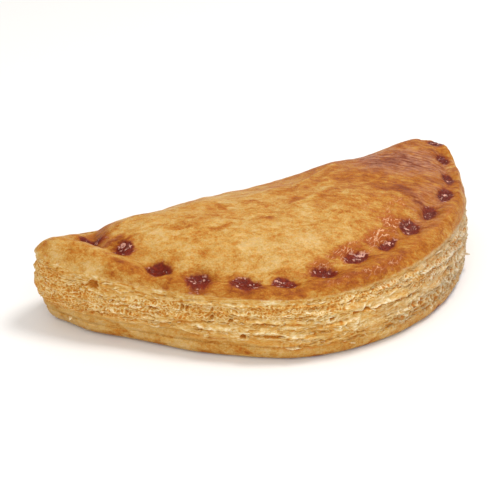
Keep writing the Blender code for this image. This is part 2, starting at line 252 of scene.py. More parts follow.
class Outline:
    """The plan outline: a ring's points, their inward normals and their place on the cut edge."""

    PER_SPAN = 40
    NORMAL_REACH = 2.0

    def __init__(self):
        curve = closed_curve(OUTLINE, self.PER_SPAN)
        self.looped = np.vstack([curve, curve[:1]])
        self.length = np.concatenate([[0.0], np.cumsum(np.hypot(*np.diff(self.looped, axis=0).T))])
        corner = (CUT_POINTS - 1) * self.PER_SPAN
        self.cut_length = self.length[corner]
        whole = self.length[-1]
        arc = np.concatenate([
            np.linspace(0.0, self.cut_length, CUT_COLUMNS, endpoint=False),
            np.linspace(self.cut_length, whole, FOLD_COLUMNS, endpoint=False),
        ])
        self.arc = arc
        self.points = self.at(arc)
        self.inward = self.normal(arc)
        on_fold = np.where(whole - arc < arc - self.cut_length, 0.0, 1.0)
        self.place = np.where(arc <= self.cut_length, arc / self.cut_length, on_fold)
        inside = np.minimum(arc, self.cut_length - arc)
        outside = np.minimum(arc - self.cut_length, whole - arc)
        from_corner = np.where(arc <= self.cut_length, inside, -outside)
        self.cut = smooth(-CORNER_OUTSIDE, CORNER_INSIDE, from_corner)
        self.cut_curve = curve[: corner + 1]
        self.cut_place = self.length[: corner + 1] / self.cut_length
        self.fold_curve = curve[corner:]

    def at(self, arc):
        """Plan points at these lengths along the outline."""
        wrapped = arc % self.length[-1]
        return np.stack([np.interp(wrapped, self.length, self.looped[:, axis]) for axis in (0, 1)], 1)

    def normal(self, arc):
        """Inward normals at these lengths along the outline."""
        along = self.at(arc + self.NORMAL_REACH) - self.at(arc - self.NORMAL_REACH)
        along /= np.hypot(*along.T)[:, None]
        return np.stack([-along[:, 1], along[:, 0]], 1)


def along_edge(measure, place):
    """A measure of the cut edge, eased between the places where it is given."""
    places = np.array(sorted(measure))
    values = np.array([measure[key] for key in sorted(measure)])
    index = np.clip(np.searchsorted(places, place) - 1, 0, len(places) - 2)
    share = smooth(0.0, 1.0, (place - places[index]) / (places[index + 1] - places[index]))
    return values[index] * (1.0 - share) + values[index + 1] * share


def wave(arc, seed, longest):
    """A gentle irregular wave along the edge, between about -1 and 1."""
    phases = np.random.default_rng(seed).uniform(0.0, 2 * math.pi, 4)
    lengths = longest * np.array([1.0, 0.61, 0.37, 0.21])
    weights = (0.45, 0.3, 0.25, 0.2)
    turns = 2 * math.pi * arc[:, None] / lengths + phases
    return np.sin(turns) @ weights


def distance_to_cut(outline, x, y):
    """Distance of plan points from the cut edge, and the place along it that they face."""
    distance, place = np.empty(len(x)), np.empty(len(x))
    for start in range(0, len(x), CHUNK):
        part = slice(start, start + CHUNK)
        away = (x[part, None] - outline.cut_curve[:, 0]) ** 2
        away += (y[part, None] - outline.cut_curve[:, 1]) ** 2
        nearness = 1.0 / (away + 0.5) ** 3
        distance[part] = np.sqrt(away.min(1))
        place[part] = (nearness @ outline.cut_place) / nearness.sum(1)
    return distance, place


def rim_slope(distance, place):
    """Height of the skin over the cut edge: rolled rim, valley, then the dome's rise."""
    edge_z, edge_in = along_edge(EDGE_Z, place), along_edge(EDGE_IN, place)
    crest_z, crest_in = along_edge(CREST_Z, place), along_edge(CREST_IN, place)
    valley_z, valley_in = along_edge(VALLEY_Z, place), along_edge(VALLEY_IN, place)
    roll = np.clip((crest_in - distance) / (crest_in - edge_in), 0.0, 1.0)
    rim = crest_z - (crest_z - edge_z - SKIN_FACE) * roll**ROLL_POWER
    to_valley = smooth(crest_in, valley_in, distance)
    to_ridge = np.clip((distance - valley_in) / along_edge(RISE_RUN, place), 0.0, 1.0)
    dome = (RIDGE_Z - valley_z) * (1.0 - (1.0 - to_ridge) ** RISE_POWER)
    return rim - (crest_z - valley_z) * to_valley + dome


def fold_run(x):
    """How far in from the fold the dome is level: less towards the tips."""
    middle = (SPINE_LEFT + SPINE_RIGHT) / 2
    return FOLD_RUN + (FOLD_RUN_TIP - FOLD_RUN) * smooth(*FOLD_TIPS, np.abs(x - middle))


def fold_slope(outline, x, y):
    """Height of the skin over the rounded fold."""
    order = np.argsort(outline.fold_curve[:, 0])
    fold_y = np.interp(x, *outline.fold_curve[order].T)
    inset = np.clip((fold_y - y) / fold_run(x), 0.0, 1.0)
    return FOLD_Z + (RIDGE_Z - FOLD_Z) * np.sqrt(1.0 - (1.0 - inset) ** 2)


def dimple_frames(outline):
    """Centre and lengthways direction of each dimple in plan."""
    places = np.linspace(DIMPLE_FIRST, DIMPLE_LAST, DIMPLES)
    arc = places * outline.cut_length
    inward = outline.normal(arc)
    along = np.stack([inward[:, 1], -inward[:, 0]], 1)
    return outline.at(arc) + inward * along_edge(VALLEY_IN, places)[:, None], along


def crust_rings(outline):
    """Inset and height of the base crust's rings, from the flat base to the top of its lip."""
    lip_in, tuck = along_edge(LIP_IN, outline.place), along_edge(BASE_TUCK, outline.place)
    level = np.ones(len(outline.points))
    return [
        (lip_in + tuck, 0.0 * level),
        (lip_in + tuck * 0.3, 0.7 * level),
        (lip_in, LIP_MID_Z * level),
        (lip_in * LIP_LEAN + 0.4, LIP_TOP_Z * level),
    ]


def layer_rings(outline):
    """Inset and height of the flaky layers' rings, a groove and a ridge to each bundle."""
    edge_z, edge_in = along_edge(EDGE_Z, outline.place), along_edge(EDGE_IN, outline.place)
    lip_in = along_edge(LIP_IN, outline.place)
    rings = []
    for layer in range(LAYERS):
        wander = LAYER_WANDER * wave(outline.arc, 10 + layer, 60.0)
        groove = 0.75 + 0.5 * wave(outline.arc, 40 + layer, 45.0)
        groove = along_edge(LAYER_DEPTHS, outline.place) * groove * (1.0 if layer else FIRST_GROOVE)
        ridge = -LAYER_BULGE * wave(outline.arc, 70 + layer, 35.0)
        for part, relief in ((GROOVE_AT, groove), (RIDGE_AT, ridge)):
            share = (layer + part) / LAYERS
            lean = lip_in * LIP_LEAN * max(0.0, 1.0 - share / LEAN_SHARE) ** LEAN_POWER
            lean += edge_in * share**2
            height = LIP_TOP_Z + (edge_z - LIP_TOP_Z) * share + wander * math.sin(math.pi * share)
            rings.append((LAYER_IN + lean + relief, height))
    return rings


def skin_edge_rings(outline):
    """Inset and height of the two rings where the skin overhangs the layers."""
    edge_z, edge_in = along_edge(EDGE_Z, outline.place), along_edge(EDGE_IN, outline.place)
    return [(edge_in + SKIN_OVERHANG, edge_z - 0.3), (edge_in, edge_z + 1.0)]


def fold_rings(outline, count):
    """Inset and height of the same number of rings round the plain bend of the fold."""
    run = fold_run(outline.points[:, 0])
    level = np.ones(len(run))
    rings = []
    for turn in np.linspace(-1.0, 1.0, count):
        if turn < 0:
            angle = turn * math.pi / 2
            inset = FOLD_TUCK * (1.0 - math.cos(angle)) * level
            height = FOLD_Z * (1.0 + math.sin(angle))
        else:
            angle = turn * FOLD_TURN
            inset = run * (1.0 - math.cos(angle))
            height = FOLD_Z + (RIDGE_Z - FOLD_Z) * math.sin(angle)
        rings.append((inset, height * level))
    return rings


def eased_between(rings, positions):
    """Values of the rings at positions between them, on a smooth curve through them."""
    last = len(rings) - 1
    index = np.clip(positions.astype(int), 0, last - 1)
    t = (positions - index)[:, None, None]
    before, after = rings[np.maximum(index - 1, 0)], rings[np.minimum(index + 2, last)]
    start, end = rings[index], rings[index + 1]
    leave, arrive = (end - before) / 2, (after - start) / 2
    return ((2 * t**3 - 3 * t**2 + 1) * start + (t**3 - 2 * t**2 + t) * leave
            + (3 * t**2 - 2 * t**3) * end + (t**3 - t**2) * arrive)


def side_grid(outline):
    """Inset and height of every point of the side, ring by ring from the base to the skin's edge."""
    rings = crust_rings(outline) + layer_rings(outline) + skin_edge_rings(outline)
    cut_side = np.array([np.stack(ring) for ring in rings])
    fold_side = np.array([np.stack(ring) for ring in fold_rings(outline, len(rings))])
    blended = outline.cut * cut_side + (1.0 - outline.cut) * fold_side
    lip_top = len(crust_rings(outline)) - 1.0
    layers_top = lip_top + 2 * LAYERS
    last = len(rings) - 1.0
    positions = np.concatenate([
        np.arange(0.0, lip_top, LIP_STEP),
        np.arange(lip_top, layers_top, BAND_STEP),
        np.arange(layers_top, last + 0.01, LIP_STEP),
    ])
    return eased_between(blended, positions)


def spine_points(outline):
    """The point of the spine that each point of the outline closes in on."""
    across = outline.points[:, 0]
    share = (across - across.min()) / np.ptp(across)
    bow = SPINE_BOW * (2.0 * share - 1.0) ** 2
    return np.column_stack([SPINE_LEFT + (SPINE_RIGHT - SPINE_LEFT) * share, SPINE_Y + bow])


def march_in(outline, start, spine):
    """A function of inset and limit: how far to the spine each point is that far from the edge."""
    steps = np.linspace(0.0, 1.0, MARCH_STEPS)
    plan = start[:, None, :] + (spine - start)[:, None, :] * steps[None, :, None]
    distance, _ = distance_to_cut(outline, *plan.reshape(-1, 2).T)
    distance = np.maximum.accumulate(distance.reshape(plan.shape[:2]), axis=1)

    def shares(inset, limit):
        reached = [np.interp(reach, row, steps) for reach, row in zip(inset, distance)]
        return np.minimum(reached, limit)

    return shares


def top_plan(outline, start):
    """Plan points of the top's rings, over the rim, the valley and the dome to the spine."""
    edge_in = along_edge(EDGE_IN, outline.place)
    crest_in, valley_in = along_edge(CREST_IN, outline.place), along_edge(VALLEY_IN, outline.place)
    rim = np.linspace(0.0, 1.0, RIM_ROWS + 1)[1:] ** RIM_ROW_POWER
    valley = np.linspace(0.0, VALLEY_PAST, VALLEY_ROWS + 1)[1:]
    insets = [edge_in + (crest_in - edge_in) * share for share in rim]
    insets += [crest_in + (valley_in - crest_in) * share for share in valley]
    spine = spine_points(outline)
    reach = march_in(outline, start, spine)
    cut = outline.cut
    limits = MOST_OF_THE_WAY * np.linspace(FIRST_LIMIT, 1.0, len(insets))
    fold_shares = np.linspace(*FOLD_SHARES, len(insets))
    shares = [cut * reach(inset, limit) + (1.0 - cut) * share
              for inset, limit, share in zip(insets, limits, fold_shares)]
    steps = np.linspace(0.0, DOME_END, sum(DOME_ROWS) + 1)[1:]
    shares += [shares[-1] + (1.0 - shares[-1]) * step for step in steps]
    return np.array([start + (spine - start) * share[:, None] for share in shares])


def skin_height(outline, x, y):
    """Height of the top skin before its fine relief, and each point's distance and place."""
    distance, place = distance_to_cut(outline, x, y)
    front = rim_slope(distance, place)
    back = fold_slope(outline, x, y)
    lower = np.minimum(front, back)
    height = lower - SLOPE_BLEND * np.log1p(np.exp(-np.abs(front - back) / SLOPE_BLEND))
    for centre_x, centre_y, radius, rise in BLISTERS:
        height += rise * np.exp(-((x - centre_x) ** 2 + (y - centre_y) ** 2) / radius**2)
    return height, distance, place


# ------------------------------
# Relief of the flaky cut edge. Places run along the edge from 0 to 1, heights are in mm.
# ------------------------------

LAYER_THICKNESS = 0.95
# Noises: strength, length and width of their cells in mm, and seed
LAYER_WAVES = (1.1, 24, 10, 1), (0.5, 7.5, 3.4, 2)      # how the layers rise and fall
FINE_WAVES = (0.2, 2.4, 1.5, 3)
LAYER_EDGE = (0.55, 5, 1, 5), (0.35, 1.7, 1, 6), (0.22, 0.8, 1, 7)      # how far a layer stands out
CRUST_LUMPS = (0.35, 9, 6, 32), (0.12, 2.6, 2.2, 33)
CRUST_MOTTLE = (0.12, 10, 2, 38), (0.07, 3, 1.2, 39)    # how its browning varies
GAP_DEPTH = 0.6         # between two layers
EDGE_RISE = 0.5         # how much of the layers' own edges shows
PIT_DEPTH = 0.5
CELL_DEPTH = 0.8
RIB_HEIGHT = 0.4
RELIEF_MEAN = 0.25      # the relief is moved out by its mean, so that it lies round the plain side
LOBE_RELIEF = 0.55      # the relief is weaker by this on the left tip's lobe
LOBE_END = 0.14         # place where the lobe ends
LUMPY = (0.50, 0.66)    # places between which the layers turn to lumps
UNDER_SKIN = (0.93, 1.02)       # shares of the layers' height where they pass under the skin
SHALLOWER = 0.35        # the relief is weaker by this there
PUFF_END = (0.88, 1.06)         # where the layers' swelling ends
OVERHANG = (0.75, 0.99, 0.05)   # how much of the skin's overhang is filled, where and how sharply
FRAY = 0.25             # how far fine relief lifts and lowers the layers, and the skin's edge
SKIN_FRAY = 0.28
# How far the layers swell out, and the share of their height where it is full
PUFF = {0.00: 0.1, 0.06: 0.3, 0.14: 0.7, 0.25: 0.8, 0.50: 1.0, 0.75: 0.6, 0.85: 0.2, 1.00: 0.2}
PUFF_RISE = {0.00: 0.8, 0.20: 0.7, 0.35: 0.3, 1.00: 0.2}
CRUST_TOP = {0.00: 8.5, 0.09: 7.6, 0.16: 8.4, 0.24: 8.2, 0.33: 5.8, 0.45: 3.8, 0.60: 3.0, 0.72: 2.2,
             1.00: 3.0}     # height of the base crust's smooth side
# Regions: place, height, half their run along the edge in mm, half their height in mm
PITTED = [
    (0.055, 18.6, 13.0, 5.2),
    (0.10, 13.0, 24.0, 6.5), (0.19, 12.0, 9.0, 4.0), (0.27, 15.0, 22.0, 2.6), (0.40, 16.5, 22.0, 2.2),
    (0.53, 18.2, 22.0, 1.8), (0.62, 16.5, 12.0, 2.6), (0.70, 17.5, 16.0, 3.0), (0.86, 15.0, 30.0, 5.0),
]
CELLED = [
    (0.557, 6.2, 6.0, 3.0), (0.588, 8.4, 5.0, 3.0), (0.632, 7.2, 8.0, 4.2), (0.69, 9.0, 9.0, 6.0),
    (0.78, 8.0, 12.0, 5.0), (0.93, 9.0, 12.0, 5.0),
]
RIBBED = [(0.522, 9.2, 5.5, 3.6), (0.672, 8.5, 8.0, 6.0), (0.86, 8.0, 9.0, 5.0), (0.405, 4.9, 7.0, 1.5)]
PLAIN = [
    (0.548, 15.3, 8.0, 1.3), (0.518, 9.4, 4.0, 3.2), (0.385, 6.2, 9.0, 1.8), (0.325, 8.0, 5.0, 1.6),
    (0.13, 5.6, 14.0, 2.2), (0.22, 6.4, 14.0, 2.4), (0.28, 6.0, 10.0, 1.5), (0.04, 15.0, 7.0, 4.0),
    (0.63, 14.2, 9.0, 1.8), (0.71, 13.2, 9.0, 2.2), (0.80, 15.0, 9.0, 2.4), (0.90, 12.0, 10.0, 2.6),
]
# Cracks: points as place and height, then depth and half width
CRACKS = [
    ([(0.355, 8.7), (0.39, 8.9), (0.425, 7.2), (0.449, 5.8)], 1.8, 0.34),
    ([(0.447, 5.4), (0.458, 6.2), (0.47, 6.7)], 1.6, 0.34),
    ([(0.30, 4.9), (0.354, 4.4), (0.378, 4.3), (0.417, 4.2), (0.457, 4.1), (0.505, 4.6)], 1.0, 0.3),
    ([(0.488, 13.8), (0.52, 13.7), (0.551, 13.3), (0.60, 12.6)], 1.9, 0.4),
    ([(0.262, 7.2), (0.28, 7.0), (0.299, 7.5)], 1.2, 0.3),
    ([(0.303, 6.5), (0.312, 6.2), (0.325, 6.6)], 1.4, 0.3),
    ([(0.079, 17.2), (0.083, 15.2), (0.088, 13.3)], 1.1, 0.35),
    ([(0.098, 15.3), (0.126, 13.0)], 1.0, 0.3),
    ([(0.175, 13.6), (0.197, 13.2)], 1.2, 0.35),
    ([(0.208, 12.9), (0.225, 12.8), (0.248, 13.3)], 1.2, 0.35),
    ([(0.13, 9.3), (0.17, 9.8), (0.21, 9.2), (0.25, 9.6)], 1.0, 0.3),
    ([(0.36, 12.6), (0.40, 12.9), (0.44, 12.2)], 1.3, 0.35),
    ([(0.66, 5.2), (0.72, 5.0), (0.80, 5.6)], 1.2, 0.35),
    ([(0.74, 12.0), (0.80, 11.2), (0.88, 11.8)], 1.4, 0.4),
    ([(0.84, 6.0), (0.90, 6.6), (0.97, 6.2)], 1.2, 0.35),
]
# Pale fibrous ridges: points as place and height, then rise and half width
FIBROUS_RIDGES = [
    ([(0.575, 18.9), (0.62, 18.0), (0.655, 17.3), (0.693, 16.7), (0.73, 15.2)], 0.8, 0.7),
    ([(0.512, 17.0), (0.504, 16.1), (0.498, 13.6), (0.492, 11.2), (0.488, 9.1)], 0.7, 0.6),
    ([(0.488, 12.0), (0.475, 11.4), (0.468, 9.8)], 0.6, 0.5),
    ([(0.515, 13.9), (0.54, 14.3), (0.57, 13.8)], 0.5, 0.5),
    ([(0.345, 9.9), (0.365, 10.4), (0.39, 10.0), (0.41, 9.0)], 0.6, 0.6),
    ([(0.23, 12.0), (0.25, 12.6), (0.27, 12.2), (0.285, 12.5)], 0.5, 0.5),
    ([(0.16, 14.6), (0.175, 14.4), (0.20, 14.1), (0.225, 13.7)], 0.5, 0.5),
    ([(0.12, 12.0), (0.145, 11.2), (0.17, 10.6)], 0.4, 0.6),
    ([(0.06, 19.0), (0.085, 18.6), (0.11, 18.9)], 0.4, 0.5),
    ([(0.44, 11.0), (0.455, 10.0), (0.47, 9.3)], 0.5, 0.5),
    ([(0.29, 11.0), (0.31, 10.2), (0.33, 10.6)], 0.5, 0.5),
    ([(0.80, 14.0), (0.84, 14.6), (0.88, 14.0)], 0.5, 0.6),
    ([(0.70, 12.4), (0.735, 12.0), (0.77, 11.2)], 0.5, 0.5),
    ([(0.63, 11.6), (0.66, 10.9), (0.69, 10.6)], 0.4, 0.5),
    ([(0.90, 9.0), (0.93, 9.6), (0.97, 9.2)], 0.5, 0.6),
]
# Holes: place, height, half length, half height and depth
HOLES = [
    (0.150, 19.6, 2.4, 1.7, 2.0), (0.307, 14.1, 0.9, 0.8, 1.6), (0.331, 13.5, 0.9, 0.7, 1.6),
    (0.346, 8.2, 1.2, 1.0, 2.0), (0.268, 16.2, 0.6, 0.9, 1.5), (0.274, 16.0, 0.6, 0.9, 1.5),
    (0.229, 14.5, 2.0, 0.6, 1.3), (0.46, 13.2, 1.4, 0.6, 1.6), (0.43, 13.4, 1.6, 0.5, 1.4),
]
# How light the bare layers are, how far above the skin's edge they show, and how baked the
# base crust's side and the skin's edge are
CRUMB_TONE = {0.00: 0.46, 0.12: 0.44, 0.30: 0.47, 0.50: 0.47, 0.70: 0.46, 1.00: 0.44}
TORN_RIM = {0.00: -0.3, 0.20: -0.3, 0.35: -0.6, 0.60: -0.5, 0.80: -0.2, 1.00: -0.3}
TORN_CRUMB = 0.62
LIP_BAKE = {0.00: 0.30, 0.12: 0.24, 0.22: 0.26, 0.36: 0.34, 0.60: 0.36, 0.74: 0.54, 0.90: 0.50,
            1.00: 0.36}
SKIN_EDGE_BAKE = 0.10
BASE_CRUMB = 0.5        # how light and how baked the flat base is
BASE_BAKE = 0.45
TONE_VARIES = 0.22      # how much the layers' lightness varies, and from layer to layer
LAYER_VARIES = 0.10
LOW_SHADE = 0.14        # how much darker they are low down, below these heights
LOW = (4.0, 10.0)
# Of the terms below, depth and gaps give painted shade, and standing out gives painted light
PITTED_SHADE = 0.08     # how much darker the layers are where they are pitted,
RELIEF_SHADE = 0.10     # for each mm of depth,
DEEP_SHADE = 0.34       # for each further mm in a gap,
RAISED_LIGHT = 0.60     # and how much lighter where they stand out from what is round them
DRY = (0.44, 0.74)      # places between which the layers get drier and paler
# Scorched spots on the base crust: place, height, half run, half height, amount
SCORCHES = [
    (0.646, 1.2, 1.6, 1.3, 0.9), (0.70, 0.6, 9.0, 1.4, 0.50), (0.76, 0.8, 8.0, 1.8, 0.60),
    (0.50, 0.3, 4.0, 1.0, 0.3), (0.44, 0.4, 3.0, 1.2, 0.35), (0.30, 0.6, 3.0, 1.2, 0.3),
    (0.235, 1.0, 3.5, 1.4, 0.28), (0.35, 2.5, 4.0, 1.2, 0.22), (0.18, 2.2, 5.0, 1.2, 0.15),
    (0.06, 12.0, 1.2, 2.6, 0.2),
]


def region(outline, run, height, areas):
    """1 inside any of the areas and 0 outside, with ragged soft borders."""
    inside = np.zeros(np.broadcast(run, height).shape)
    ragged = 0.22 * noise(run / 2.6, height / 1.6, 900)
    for place, *oval in areas:
        away = from_oval(run, height, place * outline.cut_length, *oval)
        inside = np.maximum(inside, 1.0 - smooth(0.8, 1.1, away + ragged))
    return inside


def distance_to_line(run, height, points):
    """Distance of the side's points from a line of points."""
    nearest = np.full(np.broadcast(run, height).shape, 99.0)
    for (start_run, start_height), (end_run, end_height) in zip(points, points[1:]):
        step_run, step_height = end_run - start_run, end_height - start_height
        share = ((run - start_run) * step_run + (height - start_height) * step_height)
        share = np.clip(share / (step_run**2 + step_height**2), 0.0, 1.0)
        away = np.hypot(run - start_run - share * step_run, height - start_height - share * step_height)
        nearest = np.minimum(nearest, away)
    return nearest


def flaky_relief(outline, run, height):
    """How far in from the plain side each point lies, and its height across the wavy layers."""
    flow = height + rough(run, height, *LAYER_WAVES, FINE_WAVES)
    level = flow / LAYER_THICKNESS + 0.5 * noise(flow / 2.3, run / 60, 4)
    layer = np.floor(level)
    part = level - layer

    def reach(number):
        return rough(run, LAYER_STRIDE * number, *LAYER_EDGE)

    turn_over = smooth(0.72, 1.0, part)
    edge = reach(layer) * (1.0 - turn_over) + reach(layer + 1) * turn_over
    opening = np.clip(0.45 + 1.3 * noise(run / 7.0, LAYER_STRIDE * layer, 8), 0.0, 1.5)
    gap = opening * np.exp(-((part - 0.86) / 0.14) ** 2)

    pits_near, _ = cells(run / 1.25 + 0.4 * noise(run, height, 9), flow / 0.8, 10)
    pits = 1.0 - smooth(0.14, 0.5, pits_near)
    patchy = smooth(-0.35, 0.15, noise(run / 3.0, height / 1.8, 11))
    warp = 0.35 * noise(run / 2.4, height / 2.4, 12)
    cell_near, cell_next = cells(run / 3.2 + warp, flow / 3.0 - warp, 13)
    cell = smooth(0.04, 0.34, cell_next - cell_near)
    ribs = np.abs(noise(run / 1.1, height / 6.0, 14)) - 0.3

    pitted = region(outline, run, height, PITTED)
    celled = region(outline, run, height, CELLED)
    ribbed = region(outline, run, height, RIBBED)
    plain = region(outline, run, height, PLAIN)
    leafy = (1.0 - 0.85 * plain) * (1.0 - 0.75 * celled) * (1.0 - 0.45 * pitted)
    lumpy = smooth(*LUMPY, run / outline.cut_length)
    leafy = leafy * (1.0 - 0.6 * lumpy)

    relief = (leafy * (GAP_DEPTH * gap - EDGE_RISE * edge)
              + PIT_DEPTH * pits * patchy * np.clip(pitted + 0.1 * (1.0 - plain), 0.0, 1.0)
              + celled * (CELL_DEPTH * cell - 0.3)
              + RIB_HEIGHT * ribs * ribbed
              + 0.13 * noise(run / 0.75, height / 0.7, 15) * (1.0 - 0.5 * plain)
              + 0.35 * noise(run / 9.0, height / 4.0, 16) - RELIEF_MEAN
              + (0.15 + 0.25 * lumpy) * noise(run / 4.2, height / 2.3, 20))

    wobble_run = run + 0.5 * noise(run / 3.0, height / 3.0, 17)
    wobble_height = height + 0.35 * noise(run / 2.5, height / 2.5, 18)

    def on_line(line, half_width):
        points = [(place * outline.cut_length, level_z) for place, level_z in line]
        return np.exp(-(distance_to_line(wobble_run, wobble_height, points) / half_width) ** 2)

    deeper = 0.7 * np.clip(0.6 + 0.5 * noise(run / 4.0, 0.5, 19), 0.15, 1.2)
    higher = 0.8 + 0.7 * noise(run / 1.3, height / 1.1, 21)
    for line, depth, half_width in CRACKS:
        relief = relief + depth * deeper * on_line(line, half_width)
    for line, rise, half_width in FIBROUS_RIDGES:
        relief = relief - rise * higher * on_line(line, half_width)
    for place, *oval, depth in HOLES:
        away = from_oval(wobble_run, wobble_height, place * outline.cut_length, *oval)
        relief = relief + depth * (1.0 - smooth(0.35, 1.1, away))
    return relief, flow


# ------------------------------
# Relief and browning of the skin. Places in plan are in mm.
# ------------------------------

# Browner and paler patches: x, y, half length, half width, turn from +X in degrees, amount
PATCHES = [
    (-54, 17.5, 7, 2.4, -38, 0.36), (-55, 23.5, 7, 1.6, 5, 0.24), (-62, 15.5, 3.4, 1.3, -40, 0.40),
    (-59.5, 6, 2.6, 1.1, -45, 0.30), (-56.5, 2.5, 4, 1.4, -45, 0.20), (-50, 9, 5, 2, -40, 0.10),
    (-36, 8, 5, 1.2, -30, 0.22), (-43, 13, 6, 1.8, -28, 0.08), (-10, -0.5, 4.5, 1.6, -28, 0.28),
    (-14, 1.5, 2.0, 1.6, 0, 0.16), (-27, 2, 3.0, 1.4, -20, 0.22), (-34, -4.5, 2.4, 2.4, 30, 0.16),
    (4, 6, 6, 1.6, -28, 0.20), (9, 12, 6, 1.6, -26, 0.16), (22, 12, 6, 1.6, -24, 0.20),
    (-20, 14, 6, 1.6, -26, 0.14), (-4, 18, 6, 1.6, -20, 0.12), (-24, 22, 7, 1.6, -10, 0.10),
    (-4, -24.2, 10, 2.0, 5, 0.24), (8, -22.8, 8, 2.8, 4, 0.28), (19, -20.6, 8, 3.2, 14, 0.28),
    (29, -15.5, 6, 3.4, 38, 0.26), (-56, 28, 7, 4, 30, 0.34), (34, 1.5, 5, 3.4, -35, 0.14),
    (-47, 33, 8, 2.4, 8, 0.26), (41.5, -4.5, 3, 7, 10, 0.34), (52, 14, 14, 6, -20, 0.24),
    (64, 22, 9, 5, -30, 0.04), (-4, -11, 20, 10, 0, -0.06), (-24, -8, 15, 7, -20, -0.08),
    (-17, -18.5, 6, 2.5, 0, -0.10), (-46, 11, 7, 4, -30, -0.12),
]
PATCH_RAGGED = (1.3, 0.9)       # how far their borders stray along X and Y
# How baked the dome is, by a distance from left to right, and the rim, by its place
BROWNING = {-60: 0.36, -30: 0.35, -8: 0.36, 8: 0.43, 20: 0.47, 32: 0.60, 44: 0.66}
RIM_BAKE = {0.00: 0.41, 0.12: 0.40, 0.20: 0.48, 0.30: 0.61, 0.40: 0.68, 0.50: 0.64, 0.60: 0.62,
            0.80: 0.62, 1.00: 0.54}
HALO_BAKE = 0.17        # how much browner the skin is round a dimple
FOLD_PALING = 0.14      # and how much paler at the foot of the fold
STREAK_BAKE = 0.09      # how much browner the skin is on its streaks
CREASE_PALING = 0.16
EDGE_PALING = 0.10      # how much paler near its edge
BROWNING_SLANT = 0.55   # the browning also grows towards the fold, by this share
BROWNING_DRIFT = (6, 14, 9, 154), (2.5, 4, 3, 158)      # noises, given as those of the layers
SKIN_LUMPS = (0.55, 15, 10, 101), (0.26, 6.5, 4.5, 102), (0.10, 2.7, 2.1, 103)
WRINKLE_RISE = 0.16     # on the brown end, which begins between these distances from the middle
BROWN_END = (18.0, 50.0)
BLISTER_RISE = 0.4      # of the small blisters behind the rim, and where they begin and end
BLISTERED_FROM = (0.36, 0.46)
BLISTERED_TO = (0.74, 0.84)
RIM_GROOVE_FROM = (0.440, 0.475)    # places where the groove in the rim begins and ends
RIM_GROOVE_TO = (0.565, 0.60)
RIM_GROOVE_IN = 5.2     # its distance from the outline
RIM_GROOVE_HALF_WIDTH = 0.95
RIM_GROOVE_DEPTH = 0.5
RIM_GROOVE_BAKE = 0.14
RIM_GROOVE_WET = 0.6    # how glassy the groove is, with painted glints
# Softly shining patches, with a coat and a painted sheen: x, y, half length, half width, turn from +X in
# degrees, amount
GLOSSY = [
    (54, 14, 22, 11, -25, 0.8), (46, -12, 18, 7, 42, 0.5), (-55, 21, 6, 2.4, 0, 0.4),
    (-6, -15, 12, 4, 0, 0.3), (-52, 12, 5, 3, -30, 0.3),
]
# Patches where the egg wash set thick and glassy, with painted glints, given the same way
GLASSY = [
    (-4, -24.2, 8, 1.6, 5, 0.7), (8, -23, 7, 2.6, 4, 1.0), (19, -21, 7, 2.8, 14, 1.0),
    (27, -16, 6, 4, 38, 1.0), (34, -9.5, 4, 3, 40, 0.6), (24, -8.6, 3, 1.8, 0, 0.4),
]
# Pale raised creases of the skin: points in plan, then height and half width
CREASES = [
    ([(2.0, 3.0), (10.0, 4.0), (17.5, 7.0), (22.0, 13.0), (27.5, 19.0)], 0.35, 0.8),
    ([(12.0, 15.0), (20.0, 18.0), (30.0, 22.0)], 0.3, 0.8),
    ([(-66.0, 13.0), (-58.0, 11.5), (-52.0, 13.5)], 0.3, 0.8),
]
CREASE_RAGGED = 0.6     # how far they stray


def slanting_noise(x, y, length, width, seed):
    """Noise drawn out along the skin's streaks, which run down to the right."""
    return noise((x - 0.5 * y) / length, (y + 0.55 * x) / width, seed)


def patches(x, y):
    """Sum of the patches at plan points, with ragged borders."""
    total = np.zeros(len(x))
    x = x + PATCH_RAGGED[0] * noise(x / 4.0, y / 3.0, 150)
    y = y + PATCH_RAGGED[1] * noise(x / 4.0, y / 2.5, 151)
    for *oval, amount in PATCHES:
        total += amount * (1.0 - smooth(0.35, 1.35, from_oval(x, y, *oval)))
    return total


def creases(x, y):
    """Height of the creases at plan points, and how strongly each point lies on one."""
    height, strength = np.zeros(len(x)), np.zeros(len(x))
    x = x + CREASE_RAGGED * noise(x / 3.0, y / 3.0, 152)
    y = y + CREASE_RAGGED * noise(x / 3.0, y / 3.0, 153)
    for points, rise, half_width in CREASES:
        on_line = np.exp(-(distance_to_line(x, y, points) / half_width) ** 2)
        height = np.maximum(height, rise * on_line)
        strength = np.maximum(strength, on_line)
    return height, strength


def soft_areas(x, y, areas):
    """Strongest of the soft areas at plan points."""
    total = np.zeros(len(x))
    ragged = 0.3 * noise(x / 3.0, y / 3.0, 159)
    for *oval, amount in areas:
        away = from_oval(x, y, *oval) + ragged
        total = np.maximum(total, amount * (1.0 - smooth(0.5, 1.3, away)))
    return total


def rim_groove(distance, place):
    """Strength of the groove that runs in the rim for a part of its length."""
    part = smooth(*RIM_GROOVE_FROM, place) * (1.0 - smooth(*RIM_GROOVE_TO, place))
    return part * np.exp(-((distance - RIM_GROOVE_IN) / RIM_GROOVE_HALF_WIDTH) ** 2)


